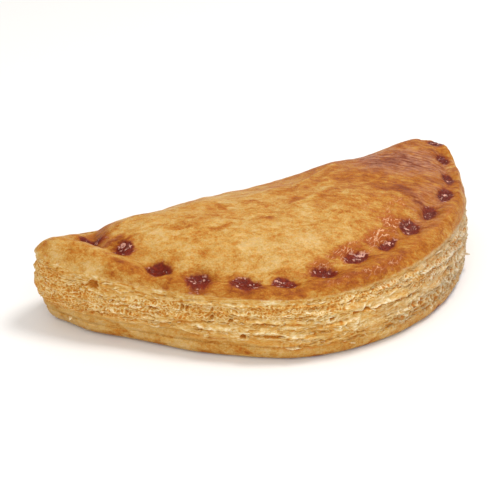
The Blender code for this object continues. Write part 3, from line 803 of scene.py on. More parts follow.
def skin_browning(x, y, distance, place):
    """How baked the skin is, 0 to 1, at plan points."""
    crest_in, valley_in = along_edge(CREST_IN, place), along_edge(VALLEY_IN, place)
    outside = 1.0 - smooth(0.55, 1.15, (distance - crest_in) / (valley_in - crest_in))
    rightwards = x + BROWNING_SLANT * (y - 5.0) + rough(x, y, *BROWNING_DRIFT)
    streaks = slanting_noise(x, y, 5.5, 1.5, 155)
    _, pale = creases(x, y)
    bake = (along_edge(BROWNING, rightwards) * (1.0 - outside) + along_edge(RIM_BAKE, place) * outside
            + STREAK_BAKE * np.clip(streaks, -0.4, 1.0) * (1.0 - 0.6 * outside)
            - EDGE_PALING * (1.0 - smooth(0.0, 0.22, (distance - 2.8) / crest_in))
            + 0.10 * layered_noise(x / 9, y / 6, 156) + 0.07 * noise(x / 2.6, y / 2.1, 157)
            + patches(x, y) - CREASE_PALING * pale + RIM_GROOVE_BAKE * rim_groove(distance, place))
    return np.clip(bake, 0.0, 1.0)


def skin_relief(x, y, distance, place):
    """Fine rise of the top skin in mm: lumps, wrinkles and small blisters."""
    wrinkles = 1.0 - np.abs(slanting_noise(x, y, 6.0, 1.7, 104)) * 2.0
    rise = rough(x, y, *SKIN_LUMPS) + WRINKLE_RISE * smooth(*BROWN_END, x) * wrinkles
    near, _ = cells(x / 1.3, y / 1.2, 105)
    blistered = smooth(*BLISTERED_FROM, place) * (1.0 - smooth(*BLISTERED_TO, place))
    blistered = blistered * np.exp(-((distance - along_edge(VALLEY_IN, place) - 1.5) / 3.2) ** 2)
    rise = rise + BLISTER_RISE * blistered * (0.5 - near) * smooth(-0.3, 0.2, noise(x / 5, y / 5, 106))
    raised, _ = creases(x, y)
    return rise + raised - RIM_GROOVE_DEPTH * rim_groove(distance, place)


def dimple_relief(outline, x, y):
    """Depth of the dimples at plan points, how charred they are, and their browned surround."""
    depth, char, halo = np.zeros((3, len(x)))
    draws = np.random.default_rng(7)
    for (centre_x, centre_y), (along_x, along_y), char_at in zip(*dimple_frames(outline), CHARS):
        slide, shift, length, width = char_at
        stretch, widen, turn = draws.uniform(-DIMPLE_DRAWS, DIMPLE_DRAWS, 3)
        cos, sin = math.cos(turn), math.sin(turn)
        along_x, along_y = along_x * cos - along_y * sin, along_x * sin + along_y * cos
        off_x, off_y = x - centre_x, y - centre_y
        near = (np.abs(off_x) < DIMPLE_LENGTH) & (np.abs(off_y) < DIMPLE_LENGTH)
        lengthways = (off_x * along_x + off_y * along_y)[near]
        across = (off_y * along_x - off_x * along_y)[near]
        ragged = 1.0 + DIMPLE_RAGGED * noise(x[near] / 2.6, y[near] / 2.6, 120)
        half_width = DIMPLE_WIDTH / 2 * (1 + widen) * np.where(across < 0, DIMPLE_OUTWARD, 1.0)
        radius = np.hypot(lengthways / (DIMPLE_LENGTH / 2 * (1 + stretch)), across / half_width) * ragged
        burnt = np.hypot((lengthways - slide) / (length / 2), (across - shift) / (width / 2)) * ragged
        press = 1.0 - smooth(DIMPLE_FLOOR, DIMPLE_SHOULDER, radius)
        wrinkle = noise(x[near] / 1.1, y[near] / 1.1, 121)
        depth[near] = np.maximum(depth[near], DIMPLE_DEPTH * press + DIMPLE_WRINKLE * wrinkle * press)
        char[near] = np.maximum(char[near], 1.0 - smooth(*CHAR_BORDER, burnt + 0.06 * wrinkle))
        halo[near] = np.maximum(halo[near], 1.0 - smooth(*HALO_BORDER, burnt))
    return depth, char, halo


# ------------------------------
# The crust's mesh
# ------------------------------

def grid_normals(points):
    """Unit normals of a grid of points whose columns close round."""
    along = np.roll(points, -1, axis=1) - np.roll(points, 1, axis=1)
    up = np.gradient(points, axis=0)
    normal = np.cross(along, up)
    length = np.linalg.norm(normal, axis=2, keepdims=True)
    return normal / np.maximum(length, 1e-9)


def blurred(values, reach):
    """Mean of each value and its neighbours in the grid, reach of them each way."""
    for axis in (0, 1):
        total = np.zeros_like(values)
        for step in range(-reach, reach + 1):
            if axis:
                total += np.roll(values, step, axis=1)
            else:
                rows = np.clip(np.arange(len(values)) + step, 0, len(values) - 1)
                total += values[rows]
        values = total / (2 * reach + 1)
    return values


def ring_faces(lower, upper):
    """Faces between two rings of vertex numbers, which are as many or one has half as many."""
    if len(lower) < len(upper):
        return [face[::-1] for face in ring_faces(upper, lower)]
    following = np.roll(upper, -1)
    if len(upper) == len(lower):
        return np.stack([lower, np.roll(lower, -1), following, upper], 1).tolist()
    even, odd, after = lower[::2], lower[1::2], np.roll(lower[::2], -1)
    faces = (even, odd, upper), (odd, after, following), (odd, following, upper)
    return np.concatenate([np.stack(corners, 1) for corners in faces]).tolist()


def strip_faces(ring, points):
    """Triangles over the narrow strip that the last ring leaves open along the spine."""
    left, right = np.argmin(points[:, 0]), np.argmax(points[:, 0])
    order = np.roll(np.arange(len(ring)), -left)
    turn = (right - left) % len(ring)
    front, back = order[: turn + 1], np.concatenate([order[turn:], order[:1]])[::-1]
    faces, near, far = [], 0, 0
    while near < len(front) - 1 or far < len(back) - 1:
        near_end, far_end = near == len(front) - 1, far == len(back) - 1
        if far_end or not near_end and points[front[near + 1], 0] <= points[back[far + 1], 0]:
            corners = (front[near], front[near + 1], back[far])
            near += 1
        else:
            corners = (front[near], back[far + 1], back[far])
            far += 1
        if len(set(corners)) == 3:
            faces.append(ring[list(corners)].tolist())
    return faces


def shown_mesh(name, points, faces, masks):
    """A smooth mesh in metres with a float attribute for each mask."""
    mesh = bpy.data.meshes.new(name)
    mesh.from_pydata((points * MM).tolist(), [], faces)
    mesh.update()
    mesh.shade_smooth()
    for key, values in masks.items():
        layer = mesh.attributes.new(key, "FLOAT", "POINT")
        layer.data.foreach_set("value", np.ascontiguousarray(values, dtype=np.float32))
    return mesh


# What the finish reads from the mesh: how far a point is bare layers and not skin, how light
# the layers are (with painted shade in their hollows and painted light where they stand out),
# how pitted, how baked the skin is, how charred, how softly it shines (its coat and a painted
# sheen), how glassy it is (with painted glints), how dry the layers are (which also places the
# char's painted grey sheen), and coordinates in mm along the edge and across the layers
MASKS = ("flaky", "crumb", "pitted", "bake", "char", "gloss", "wet", "dry", "run", "flow")


class Crust:
    """The crust as a grid of rings and columns, with the masks that its finish reads."""

    def __init__(self, outline):
        self.outline = outline
        self.make_side()
        self.make_top()

    def make_side(self):
        outline = self.outline
        inset, height = np.moveaxis(side_grid(outline), 1, 0)
        past = outline.arc > outline.cut_length + CORNER_OUTSIDE * 2
        run = np.broadcast_to(np.where(past, outline.arc - outline.length[-1], outline.arc), height.shape)
        edge_z = along_edge(EDGE_Z, outline.place)
        share = (height - LIP_TOP_Z) / (edge_z - LIP_TOP_Z)
        ragged = 0.9 * noise(run / 9, 0.5, 31) + 0.7 * noise(run / 2.6, height / 1.4, 36)
        crust_top = along_edge(CRUST_TOP, outline.place)
        flaky = smooth(-0.7, 0.9, height - crust_top + ragged) * outline.cut
        relief, flow = flaky_relief(outline, run, height)
        relief = relief * (LOBE_RELIEF + (1.0 - LOBE_RELIEF) * smooth(0.0, LOBE_END, outline.place))
        under_skin = smooth(*UNDER_SKIN, share)
        shallow = 1.0 - SHALLOWER * under_skin
        swell = along_edge(PUFF, outline.place) * (1.0 - smooth(*PUFF_END, share))
        swell = swell * smooth(0.0, 1.0, share / along_edge(PUFF_RISE, outline.place))
        filled, at_share, spread = OVERHANG
        swell = swell + filled * SKIN_OVERHANG * np.exp(-((share - at_share) / spread) ** 2)
        inset = inset + (relief * flaky * shallow - swell * outline.cut)
        inset = inset - rough(run, height, *CRUST_LUMPS) * (1.0 - flaky) * smooth(0.0, 1.5, height)
        lift = FRAY * noise(run / 1.9, height / 2.0, 34) * flaky * (1.0 - under_skin)
        lift = lift + SKIN_FRAY * noise(run / 4.0, 0.5, 35) * under_skin * outline.cut
        plan = outline.points[None] + outline.inward[None] * inset[:, :, None]
        self.side = np.dstack([plan, height + lift])
        self.inset, self.height = blurred(inset, 2), height
        raised = blurred(relief, 4) - relief
        deep = np.clip(relief - 0.1, 0.0, 2.0)
        tone = along_edge(CRUMB_TONE, outline.place) + TONE_VARIES * noise(run / 9.0, height / 2.8, 37)
        tone = tone + LAYER_VARIES * noise(run / 4.0, flow / 1.3, 43)
        tone = tone - LOW_SHADE * (1.0 - smooth(*LOW, height))
        pitted = region(outline, run, height, PITTED)
        golden = along_edge(LIP_BAKE, outline.place) + rough(run, height, *CRUST_MOTTLE)
        for place, *oval, amount in SCORCHES:
            away = from_oval(run, height, place * outline.cut_length, *oval)
            golden = golden + amount * (1.0 - smooth(0.4, 1.3, away + 0.25 * noise(run, height, 44)))
        x, y = plan.reshape(-1, 2).T
        over_fold = skin_browning(x, y, *distance_to_cut(outline, x, y)).reshape(height.shape)
        over_fold = over_fold - FOLD_PALING * (1.0 - smooth(0.0, FOLD_Z, height))
        golden = golden * outline.cut + over_fold * (1.0 - outline.cut)
        # Painted shade with depth and deep in gaps, and painted light where the layers stand out
        crumb = tone - PITTED_SHADE * pitted + RAISED_LIGHT * raised
        crumb = crumb - RELIEF_SHADE * relief - DEEP_SHADE * deep
        self.side_masks = dict.fromkeys(MASKS, np.zeros(height.shape)) | {
            "flaky": flaky,
            "crumb": np.clip(crumb, 0.0, 1.0),
            "pitted": pitted,
            "bake": golden + SKIN_EDGE_BAKE * smooth(0.97, 1.05, share) * outline.cut,
            "dry": smooth(*DRY, outline.place + 0.08 * noise(run / 8.0, height / 3.0, 45)),
            "run": run,
            "flow": flow,
        }

    def make_top(self):
        outline = self.outline
        plan = top_plan(outline, self.side[-1][:, :2])
        x, y = plan.reshape(-1, 2).T
        height, distance, place = skin_height(outline, x, y)
        dimple, char, halo = dimple_relief(outline, x, y)
        rows = plan.shape[:2]
        self.top = np.dstack([plan, (height - dimple).reshape(rows)])
        rise = skin_relief(x, y, distance, place).reshape(rows)
        ease_in = smooth(0.0, 4.0, np.arange(rows[0]))[:, None]
        spread = grid_normals(self.top)
        self.top += spread * (rise * ease_in)[:, :, None]
        bake = skin_browning(x, y, distance, place) + HALO_BAKE * halo
        wet = np.maximum(soft_areas(x, y, GLASSY), RIM_GROOVE_WET * rim_groove(distance, place))
        gloss = soft_areas(x, y, GLOSSY)
        bake, char, place, wet, gloss = (mask.reshape(rows) for mask in (bake, char, place, wet, gloss))
        run = place * outline.cut_length
        torn = along_edge(TORN_RIM, place) + 0.7 * noise(run / 5.0, 0.5, 41) + 0.5 * noise(run / 1.8, 0.5, 42)
        over_edge = self.top[:, :, 2] - along_edge(EDGE_Z, place) - 1.0
        rim_row = (np.arange(rows[0]) < RIM_ROWS)[:, None]
        self.top_masks = dict.fromkeys(MASKS, np.zeros(rows)) | {
            "flaky": (1.0 - smooth(-0.9, 1.3, over_edge - torn)) * rim_row * outline.cut,
            "crumb": np.full(rows, TORN_CRUMB),
            "bake": bake,
            "char": char,
            "gloss": gloss * (1.0 - char) + CHAR_GLOSS * char,
            "wet": wet * (1.0 - char) + CHAR_WET * char,
            # the dry places also set where the char takes its painted grey sheen
            "dry": smooth(*DRY, place),
            "run": run,
            "flow": self.top[:, :, 2],
        }

    def base(self):
        """Rings on the flat base, from the middle out."""
        start = self.side[0][:, :2]
        spine = spine_points(self.outline)
        plans = [start + (spine - start) * share for share in BASE_SHARES]
        return np.array([np.column_stack([plan, np.zeros(len(plan))]) for plan in plans])

    def mesh(self):
        """All rings joined into one closed mesh."""
        base = self.base()
        whole_rows = len(self.side) + RIM_ROWS + VALLEY_ROWS
        thinning = [*BASE_THINNING, *[1] * whole_rows, *[2] * DOME_ROWS[0], *[4] * DOME_ROWS[1]]
        grid = np.concatenate([base, self.side, self.top])
        base_masks = dict.fromkeys(MASKS, 0.0) | {"crumb": BASE_CRUMB, "bake": BASE_BAKE}
        masks = {key: np.concatenate([np.full(base.shape[:2], base_masks[key]), self.side_masks[key],
                                      self.top_masks[key]]) for key in MASKS}
        numbers, points, first = [], [], 0
        for row, step in zip(grid, thinning):
            kept = row[::step]
            numbers.append(np.arange(first, first + len(kept)))
            points.append(kept)
            first += len(kept)
        faces = [numbers[0][::-1].tolist()]
        for lower, upper in zip(numbers, numbers[1:]):
            faces += ring_faces(lower, upper)
        faces += strip_faces(numbers[-1], grid[-1][::thinning[-1]])
        kept_masks = {key: np.concatenate([row[::step] for row, step in zip(mask, thinning)])
                      for key, mask in masks.items()}
        return shown_mesh("crust", np.concatenate(points), faces, kept_masks)


# ------------------------------
# Loose flakes: thin curled ribbons of pastry that stand out from the cut edge
# ------------------------------

FLAKES = 900
FLAKE_LENGTH = (1.2, 5.5)
FLAKE_REACH = (0.12, 0.55)      # how far a flake stands out from the layers
FLAKE_THICKNESS = (0.24, 0.5)
FLAKE_ROOT = 0.7                # how deep a flake starts inside the layers
FLAKE_STEP = 0.5                # spacing of the points along a flake
FLAKE_LIGHT = (0.46, 0.78)      # how light its tip is
CLEAR_FLAKE_LIGHT = 0.9         # the same for those that can be told apart
FLAKES_ALONG = 0.8              # share of the flakes that run along the layers, while the rest stray
FLAKE_SLOPES = (0.18, 0.9)      # spread of the slopes of either kind
# Round a flake's section its root is darker, painted shade where it meets the layers, and its tip paler,
# partly its own pale edge and partly painted light
FLAKE_LIGHTS = (0.6, 0.85, 1.0, 1.0, 0.8, 0.5)      # how light it is round its section
# Flakes that can be told apart: points as place and height, then reach and thickness
CLEAR_FLAKES = [
    ([(0.765, 6.6), (0.772, 6.1), (0.778, 5.9)], 2.2, 0.5),
    ([(0.399, 4.5), (0.409, 4.7), (0.420, 4.3)], 0.9, 0.5),
    ([(0.107, 4.4), (0.110, 4.7), (0.113, 4.5)], 0.9, 0.6),
    ([(0.484, 3.4), (0.488, 3.3), (0.492, 3.0)], 0.8, 0.5),
    ([(0.515, 13.9), (0.528, 14.2), (0.54, 14.3)], 0.8, 0.5),
    ([(0.504, 16.1), (0.500, 14.8), (0.498, 13.6)], 0.7, 0.5),
    ([(0.60, 18.3), (0.615, 18.1), (0.628, 17.9)], 0.8, 0.5),
    ([(0.66, 17.3), (0.675, 17.0), (0.688, 16.8)], 0.8, 0.5),
]


class Flakes:
    """Ribbons rooted in the crust's side, all in one mesh."""

    def __init__(self, crust):
        self.crust = crust
        self.outline = crust.outline
        self.draws = np.random.default_rng(2025)
        self.points, self.faces, self.lights, self.runs, self.flows = [], [], [], [], []
        self.count = 0
        for path, reach, thickness in CLEAR_FLAKES:
            self.add_clear(path, reach, thickness)
        for _ in range(FLAKES):
            self.add_scattered()

    def wall_inset(self, run, height):
        """Inset of the crust's side at points given by run and height."""
        columns = run / self.outline.cut_length * CUT_COLUMNS
        low = np.clip(np.floor(columns).astype(int), 0, CUT_COLUMNS - 2)
        share = columns - low
        found = [[np.interp(level, self.crust.height[:, column], self.crust.inset[:, column])
                  for column in (left, left + 1)] for level, left in zip(height, low)]
        return np.array(found)[:, 0] * (1.0 - share) + np.array(found)[:, 1] * share

    def add_clear(self, path, reach, thickness):
        place, height = np.array(path).T
        run = place * self.outline.cut_length
        length = np.concatenate([[0.0], np.cumsum(np.hypot(np.diff(run), np.diff(height)))])
        steps = np.linspace(0.0, length[-1], int(length[-1] / FLAKE_STEP) + 4)
        self.add(np.interp(steps, length, run), np.interp(steps, length, height), reach, thickness,
                 CLEAR_FLAKE_LIGHT)

    def add_scattered(self):
        """One flake at a random place, along the layers there, or none where the crust is plain."""
        draws = self.draws
        length = draws.uniform(*FLAKE_LENGTH) * draws.uniform(0.4, 1.0)
        run = draws.uniform(2.0, self.outline.cut_length - 2.0 - length)
        share, tilt, reach, thickness = draws.uniform(0.0, 1.0, 4)
        place = np.array([run / self.outline.cut_length])
        low, high = along_edge(CRUST_TOP, place)[0] + 0.6, along_edge(EDGE_Z, place)[0] - 0.2
        height = low + (high - low) * share
        at_run, at_height, chance = np.array([run]), np.array([height]), draws.uniform()
        if chance < 0.85 * region(self.outline, at_run, at_height, PLAIN)[0]:
            return
        if chance < 0.6 * region(self.outline, at_run, at_height, PITTED)[0]:
            return
        steps = np.linspace(0.0, length, int(length / FLAKE_STEP) + 4)
        slope = draws.normal(0.0, FLAKE_SLOPES[0] if tilt < FLAKES_ALONG else FLAKE_SLOPES[1])
        along = run + steps / math.hypot(1.0, slope)
        drift = rough(along, height, *LAYER_WAVES) - rough(run, height, *LAYER_WAVES)
        level = height - drift + slope * (along - run)
        self.add(along, np.clip(level, low - 0.5, high), FLAKE_REACH[0] + np.ptp(FLAKE_REACH) * reach**1.5,
                 FLAKE_THICKNESS[0] + np.ptp(FLAKE_THICKNESS) * thickness, draws.uniform(*FLAKE_LIGHT))

    def add(self, run, height, reach, thickness, light):
        """A ribbon along these points, with a root, a middle and a tip across."""
        draws, count = self.draws, len(run)
        share = np.linspace(0.0, 1.0, count)
        taper = np.sin(math.pi * share) ** 0.5
        seed = int(draws.integers(1000, 9000))
        ragged = 1.0 + 0.45 * noise(share * count / 2.2, 0.5, seed)
        reach = reach * taper * ragged
        curl = draws.normal(0.0, 0.35) * reach + 0.25 * noise(share * count / 4.0, 4.5, seed)
        tangent = np.stack([np.gradient(run), np.gradient(height)], 1)
        tangent /= np.hypot(*tangent.T)[:, None]
        across = np.stack([-tangent[:, 1], tangent[:, 0]], 1)
        wall = self.wall_inset(run, height)
        sections = [(FLAKE_ROOT * taper + 0.1, 0.0, 1.0), (-0.5 * reach, 0.35, 0.8), (-reach, 1.0, 0.4)]
        loop = [(*section, 0.5) for section in sections]
        loop += [(*section, -0.5) for section in sections[::-1]]
        rings = []
        for depth, bend, thinning, face in loop:
            offset = curl * bend + face * thickness * thinning * (0.35 + 0.65 * taper)
            at_run, at_height = run + across[:, 0] * offset, height + across[:, 1] * offset
            inset = wall + depth
            plan = self.outline.at(at_run) + self.outline.normal(at_run) * inset[:, None]
            rings.append(np.column_stack([plan, at_height]))
        points = np.stack(rings, 1)
        numbers = self.count + np.arange(points.shape[0] * len(loop)).reshape(points.shape[:2])
        around = np.roll(numbers, -1, axis=1)
        faces = np.stack([numbers[:-1], around[:-1], around[1:], numbers[1:]], -1)
        faces = faces.reshape(-1, 4).tolist()
        faces += [numbers[0][::-1].tolist(), numbers[-1].tolist()]
        if tangent[0, 0] < 0:
            faces = [face[::-1] for face in faces]
        tips = np.array(FLAKE_LIGHTS)
        self.points.append(points.reshape(-1, 3))
        self.faces += faces
        self.lights.append(np.broadcast_to(light * tips, points.shape[:2]).ravel())
        self.runs.append(np.repeat(run, len(loop)))
        self.flows.append((height[:, None] + 0.6 * tips).ravel())
        self.count += numbers.size

    def mesh(self):
        run = np.concatenate(self.runs)
        masks = dict.fromkeys(MASKS, np.zeros(self.count)) | {
            "flaky": np.ones(self.count),
            "crumb": np.concatenate(self.lights),
            "dry": smooth(*DRY, run / self.outline.cut_length),
            "run": run,
            "flow": np.concatenate(self.flows),
        }
        return shown_mesh("flakes", np.concatenate(self.points), self.faces, masks)


# ------------------------------
# Finish
# ------------------------------

CRUST_SCATTER = 0.10    # share of the light that scatters below the crust's surface
SCATTER_RADIUS = (1.0, 0.4, 0.12)
SCATTER_DEPTH = 1.2     # in mm
CHAR_GLOSS = 0.06       # how much the char in the dimples shines
CHAR_WET = 0.05         # and how glassy it is, with painted glints
SKIN_ROUGHNESS = 0.42
MOTTLE_ROUGHNESS = 0.3  # how much that varies
LAYERS_ROUGHER = 0.25   # how much rougher the bare layers are
CHAR_SMOOTHER = 0.12
SPECULAR = 0.12
COAT = 0.3              # weight of the egg wash's gloss where it shines most
COAT_ROUGHNESS = 0.24
# Noises: size in mm, detail, stretch, roughness, warp, and turn about Z in radians
MOTTLE = (5.0, 3.0, (0.75, 1.15, 1.0), 0.5, 0.8)
SPECKS = (1.0, 3.0, (0.9, 1.1, 1.0), 0.65, 0.3)
SPOTS = (2.1, 2.0, (0.65, 1.2, 1.0), 0.55, 0.6)
GRAIN = (0.5, 2.0)
STREAKS = (1.5, 2.0, (0.3, 1.5, 1.0), 0.6, 0.5, -0.7)
WRINKLES = (1.7, 3.0, (0.5, 1.25, 1.0), 0.6, 1.2, -0.6)
GLINTS = (1.6, 0.6, (0.42, 1.6, 1.0), 0.6)      # net of lines: size, warp, stretch and turn
THREADS = (1.5, 0.42)       # length along the layers and width across them, in mm
PIT_WALLS = (1.1, 0.65)     # the same for the cells between the walls
# Bumps: strength, and distance in mm
SPECK_BUMP = (0.9, 0.5)
STREAK_BUMP = (0.8, 0.3)
LINE_BUMP = (0.5, 0.25)
GRAIN_BUMP = (0.5, 0.15)
GLINT_BUMP = (0.4, 0.15)
THREAD_BUMP = (0.5, 0.2)
SKIN_COLOURS = [    # how baked the egg-washed skin is, and its colour
    (0.00, (0.60, 0.385, 0.150)), (0.20, (0.55, 0.315, 0.082)), (0.38, (0.48, 0.217, 0.034)),
    (0.56, (0.40, 0.128, 0.010)), (0.76, (0.28, 0.066, 0.006)), (1.00, (0.18, 0.033, 0.005)),
]
CRUMB_COLOURS = [   # from the depth of a crack to the tip of a flake
    (0.00, (0.46, 0.155, 0.018)), (0.22, (0.53, 0.230, 0.036)), (0.44, (0.58, 0.325, 0.080)),
    (0.68, (0.67, 0.465, 0.195)), (1.00, (0.82, 0.690, 0.450)),
]
DRY_COLOURS = [     # the same where the layers are drier and paler
    (0.00, (0.40, 0.145, 0.028)), (0.22, (0.43, 0.218, 0.070)), (0.44, (0.455, 0.300, 0.142)),
    (0.68, (0.51, 0.388, 0.242)), (1.00, (0.64, 0.550, 0.410)),
]
CHAR_COLOURS = [    # from the char's border to its middle
    (0.00, (0.37, 0.062, 0.011)), (0.45, (0.195, 0.019, 0.005)), (0.95, (0.068, 0.005, 0.003)),
]
CHAR_SHINE = (0.64, 0.33, 0.25)         # its small painted highlights
GREY_SHEEN_COLOUR = (0.085, 0.05, 0.045)       # painted grey sheen on the char of the dimples near the right tip
GREY_SHEEN = 0.15                              # and how much it shows there
SHEEN_COLOUR = (0.48, 0.235, 0.145)     # painted sheen where the brown skin shines softly
SHEEN = 0.6                             # share of that colour where it shines most
GLAZE_COLOUR = (0.38, 0.092, 0.015)     # thick glassy egg wash
GLAZE = 0.8                             # and the same for the glaze
GLINT_COLOUR = (1.00, 0.60, 0.34)       # painted highlights on its fine shiny wrinkles
GLINT = 0.75                            # how much of that colour they take on


class Shader:
    """Short names for making a material's nodes."""

    def __init__(self, name):
        self.material = bpy.data.materials.new(name)
        self.material.use_nodes = True
        self.nodes = self.material.node_tree.nodes
        self.links = self.material.node_tree.links
        self.surface = self.nodes["Principled BSDF"]
        self.coordinates = self.nodes.new("ShaderNodeTexCoord").outputs["Object"]

    def node(self, kind, inputs, **settings):
        """A node with its inputs set or linked, given by name or number."""
        node = self.nodes.new("ShaderNode" + kind)
        for name, value in settings.items():
            setattr(node, name, value)
        for key, value in inputs.items():
            self.set_input(node.inputs[key], value)
        return node

    def set_input(self, socket, value):
        if isinstance(value, bpy.types.NodeSocket):
            self.links.new(value, socket)
        else:
            socket.default_value = value

    def attribute(self, name):
        return self.node("Attribute", {}, attribute_name=name).outputs["Fac"]

    def stretched(self, scale, turn):
        """The object's coordinates, turned about Z and stretched."""
        inputs = {"Vector": self.coordinates, "Scale": [1.0 / factor for factor in scale],
                  "Rotation": (0.0, 0.0, turn)}
        return self.node("Mapping", inputs, vector_type="TEXTURE").outputs["Vector"]

    def noise(self, size_mm, detail, stretch=(1.0, 1.0, 1.0), roughness=0.55, warp=0.0, turn=-0.5):
        inputs = {"Vector": self.stretched(stretch, turn), "Scale": 1.0 / (size_mm * MM),
                  "Detail": detail, "Roughness": roughness, "Distortion": warp}
        return self.node("TexNoise", inputs).outputs["Fac"]

    def crackle(self, size_mm, warp, stretch, turn):
        """Distance from a net of fine lines all over the skin, 0 on a line."""
        place = self.stretched(stretch, turn)
        drift = self.node("TexNoise", {"Vector": place, "Scale": 0.7 / (size_mm * MM)}).outputs["Color"]
        inputs = {0: drift, 1: [warp * size_mm * MM * 2.0] * 3, 2: place}
        moved = self.node("VectorMath", inputs, operation="MULTIPLY_ADD").outputs["Vector"]
        return self.net(moved, 1.0 / (size_mm * MM))

    def net(self, place, scale):
        """Distance from the walls of open cells, 0 on a wall."""
        inputs = {"Vector": place, "Scale": scale}
        return self.node("TexVoronoi", inputs, feature="DISTANCE_TO_EDGE").outputs["Distance"]

    def along_layers(self, run_mm, flow_mm):
        """Coordinates that run along the edge and across the layers, in these units."""
        inputs = {"X": self.math("DIVIDE", self.attribute("run"), run_mm),
                  "Y": self.math("DIVIDE", self.attribute("flow"), flow_mm)}
        return self.node("CombineXYZ", inputs).outputs["Vector"]

    def fibres(self, run_mm, flow_mm):
        """Noise drawn out along the layers."""
        inputs = {"Vector": self.along_layers(run_mm, flow_mm), "Scale": 1.0, "Detail": 3.0,
                  "Roughness": 0.6, "Distortion": 0.6}
        return self.node("TexNoise", inputs).outputs["Fac"]

    def math(self, operation, first, second=0.0, third=0.0, clamped=False):
        inputs = {0: first, 1: second, 2: third}
        return self.node("Math", inputs, operation=operation, use_clamp=clamped).outputs["Value"]

    def scaled(self, value, gain, offset=0.0):
        """The value times a gain plus an offset, each a number or a socket."""
        return self.math("MULTIPLY_ADD", value, gain, offset)

    def clipped(self, value, gain, offset):
        """The same, kept between 0 and 1."""
        return self.math("MULTIPLY_ADD", value, gain, offset, clamped=True)

    def times(self, first, second):
        return self.math("MULTIPLY", first, second)

    def ramp(self, value, colours):
        node = self.node("ValToRGB", {"Fac": value})
        stops = node.color_ramp.elements
        while len(stops) < len(colours):
            stops.new(0.5)
        for stop, (position, colour) in zip(stops, colours):
            stop.position = position
            stop.color = (*colour, 1.0)
        return node.outputs["Color"]

    def mix(self, share, first, second):
        node = self.node("Mix", {}, data_type="RGBA")
        self.set_input(node.inputs["Factor"], share)
        colours = [socket for socket in node.inputs if socket.type == "RGBA"]
        for socket, colour in zip(colours, (first, second)):
            self.set_input(socket, colour if isinstance(colour, bpy.types.NodeSocket) else (*colour, 1.0))
        return next(socket for socket in node.outputs if socket.type == "RGBA")

    def bumps(self, *layers):
        """Normal over bumps on each other, each with its height, strength and distance in mm."""
        normal = None
        for height, strength, distance_mm in layers:
            inputs = {"Height": height, "Strength": strength, "Distance": distance_mm * MM}
            normal = self.node("Bump", inputs | ({"Normal": normal} if normal else {})).outputs["Normal"]
        return normal


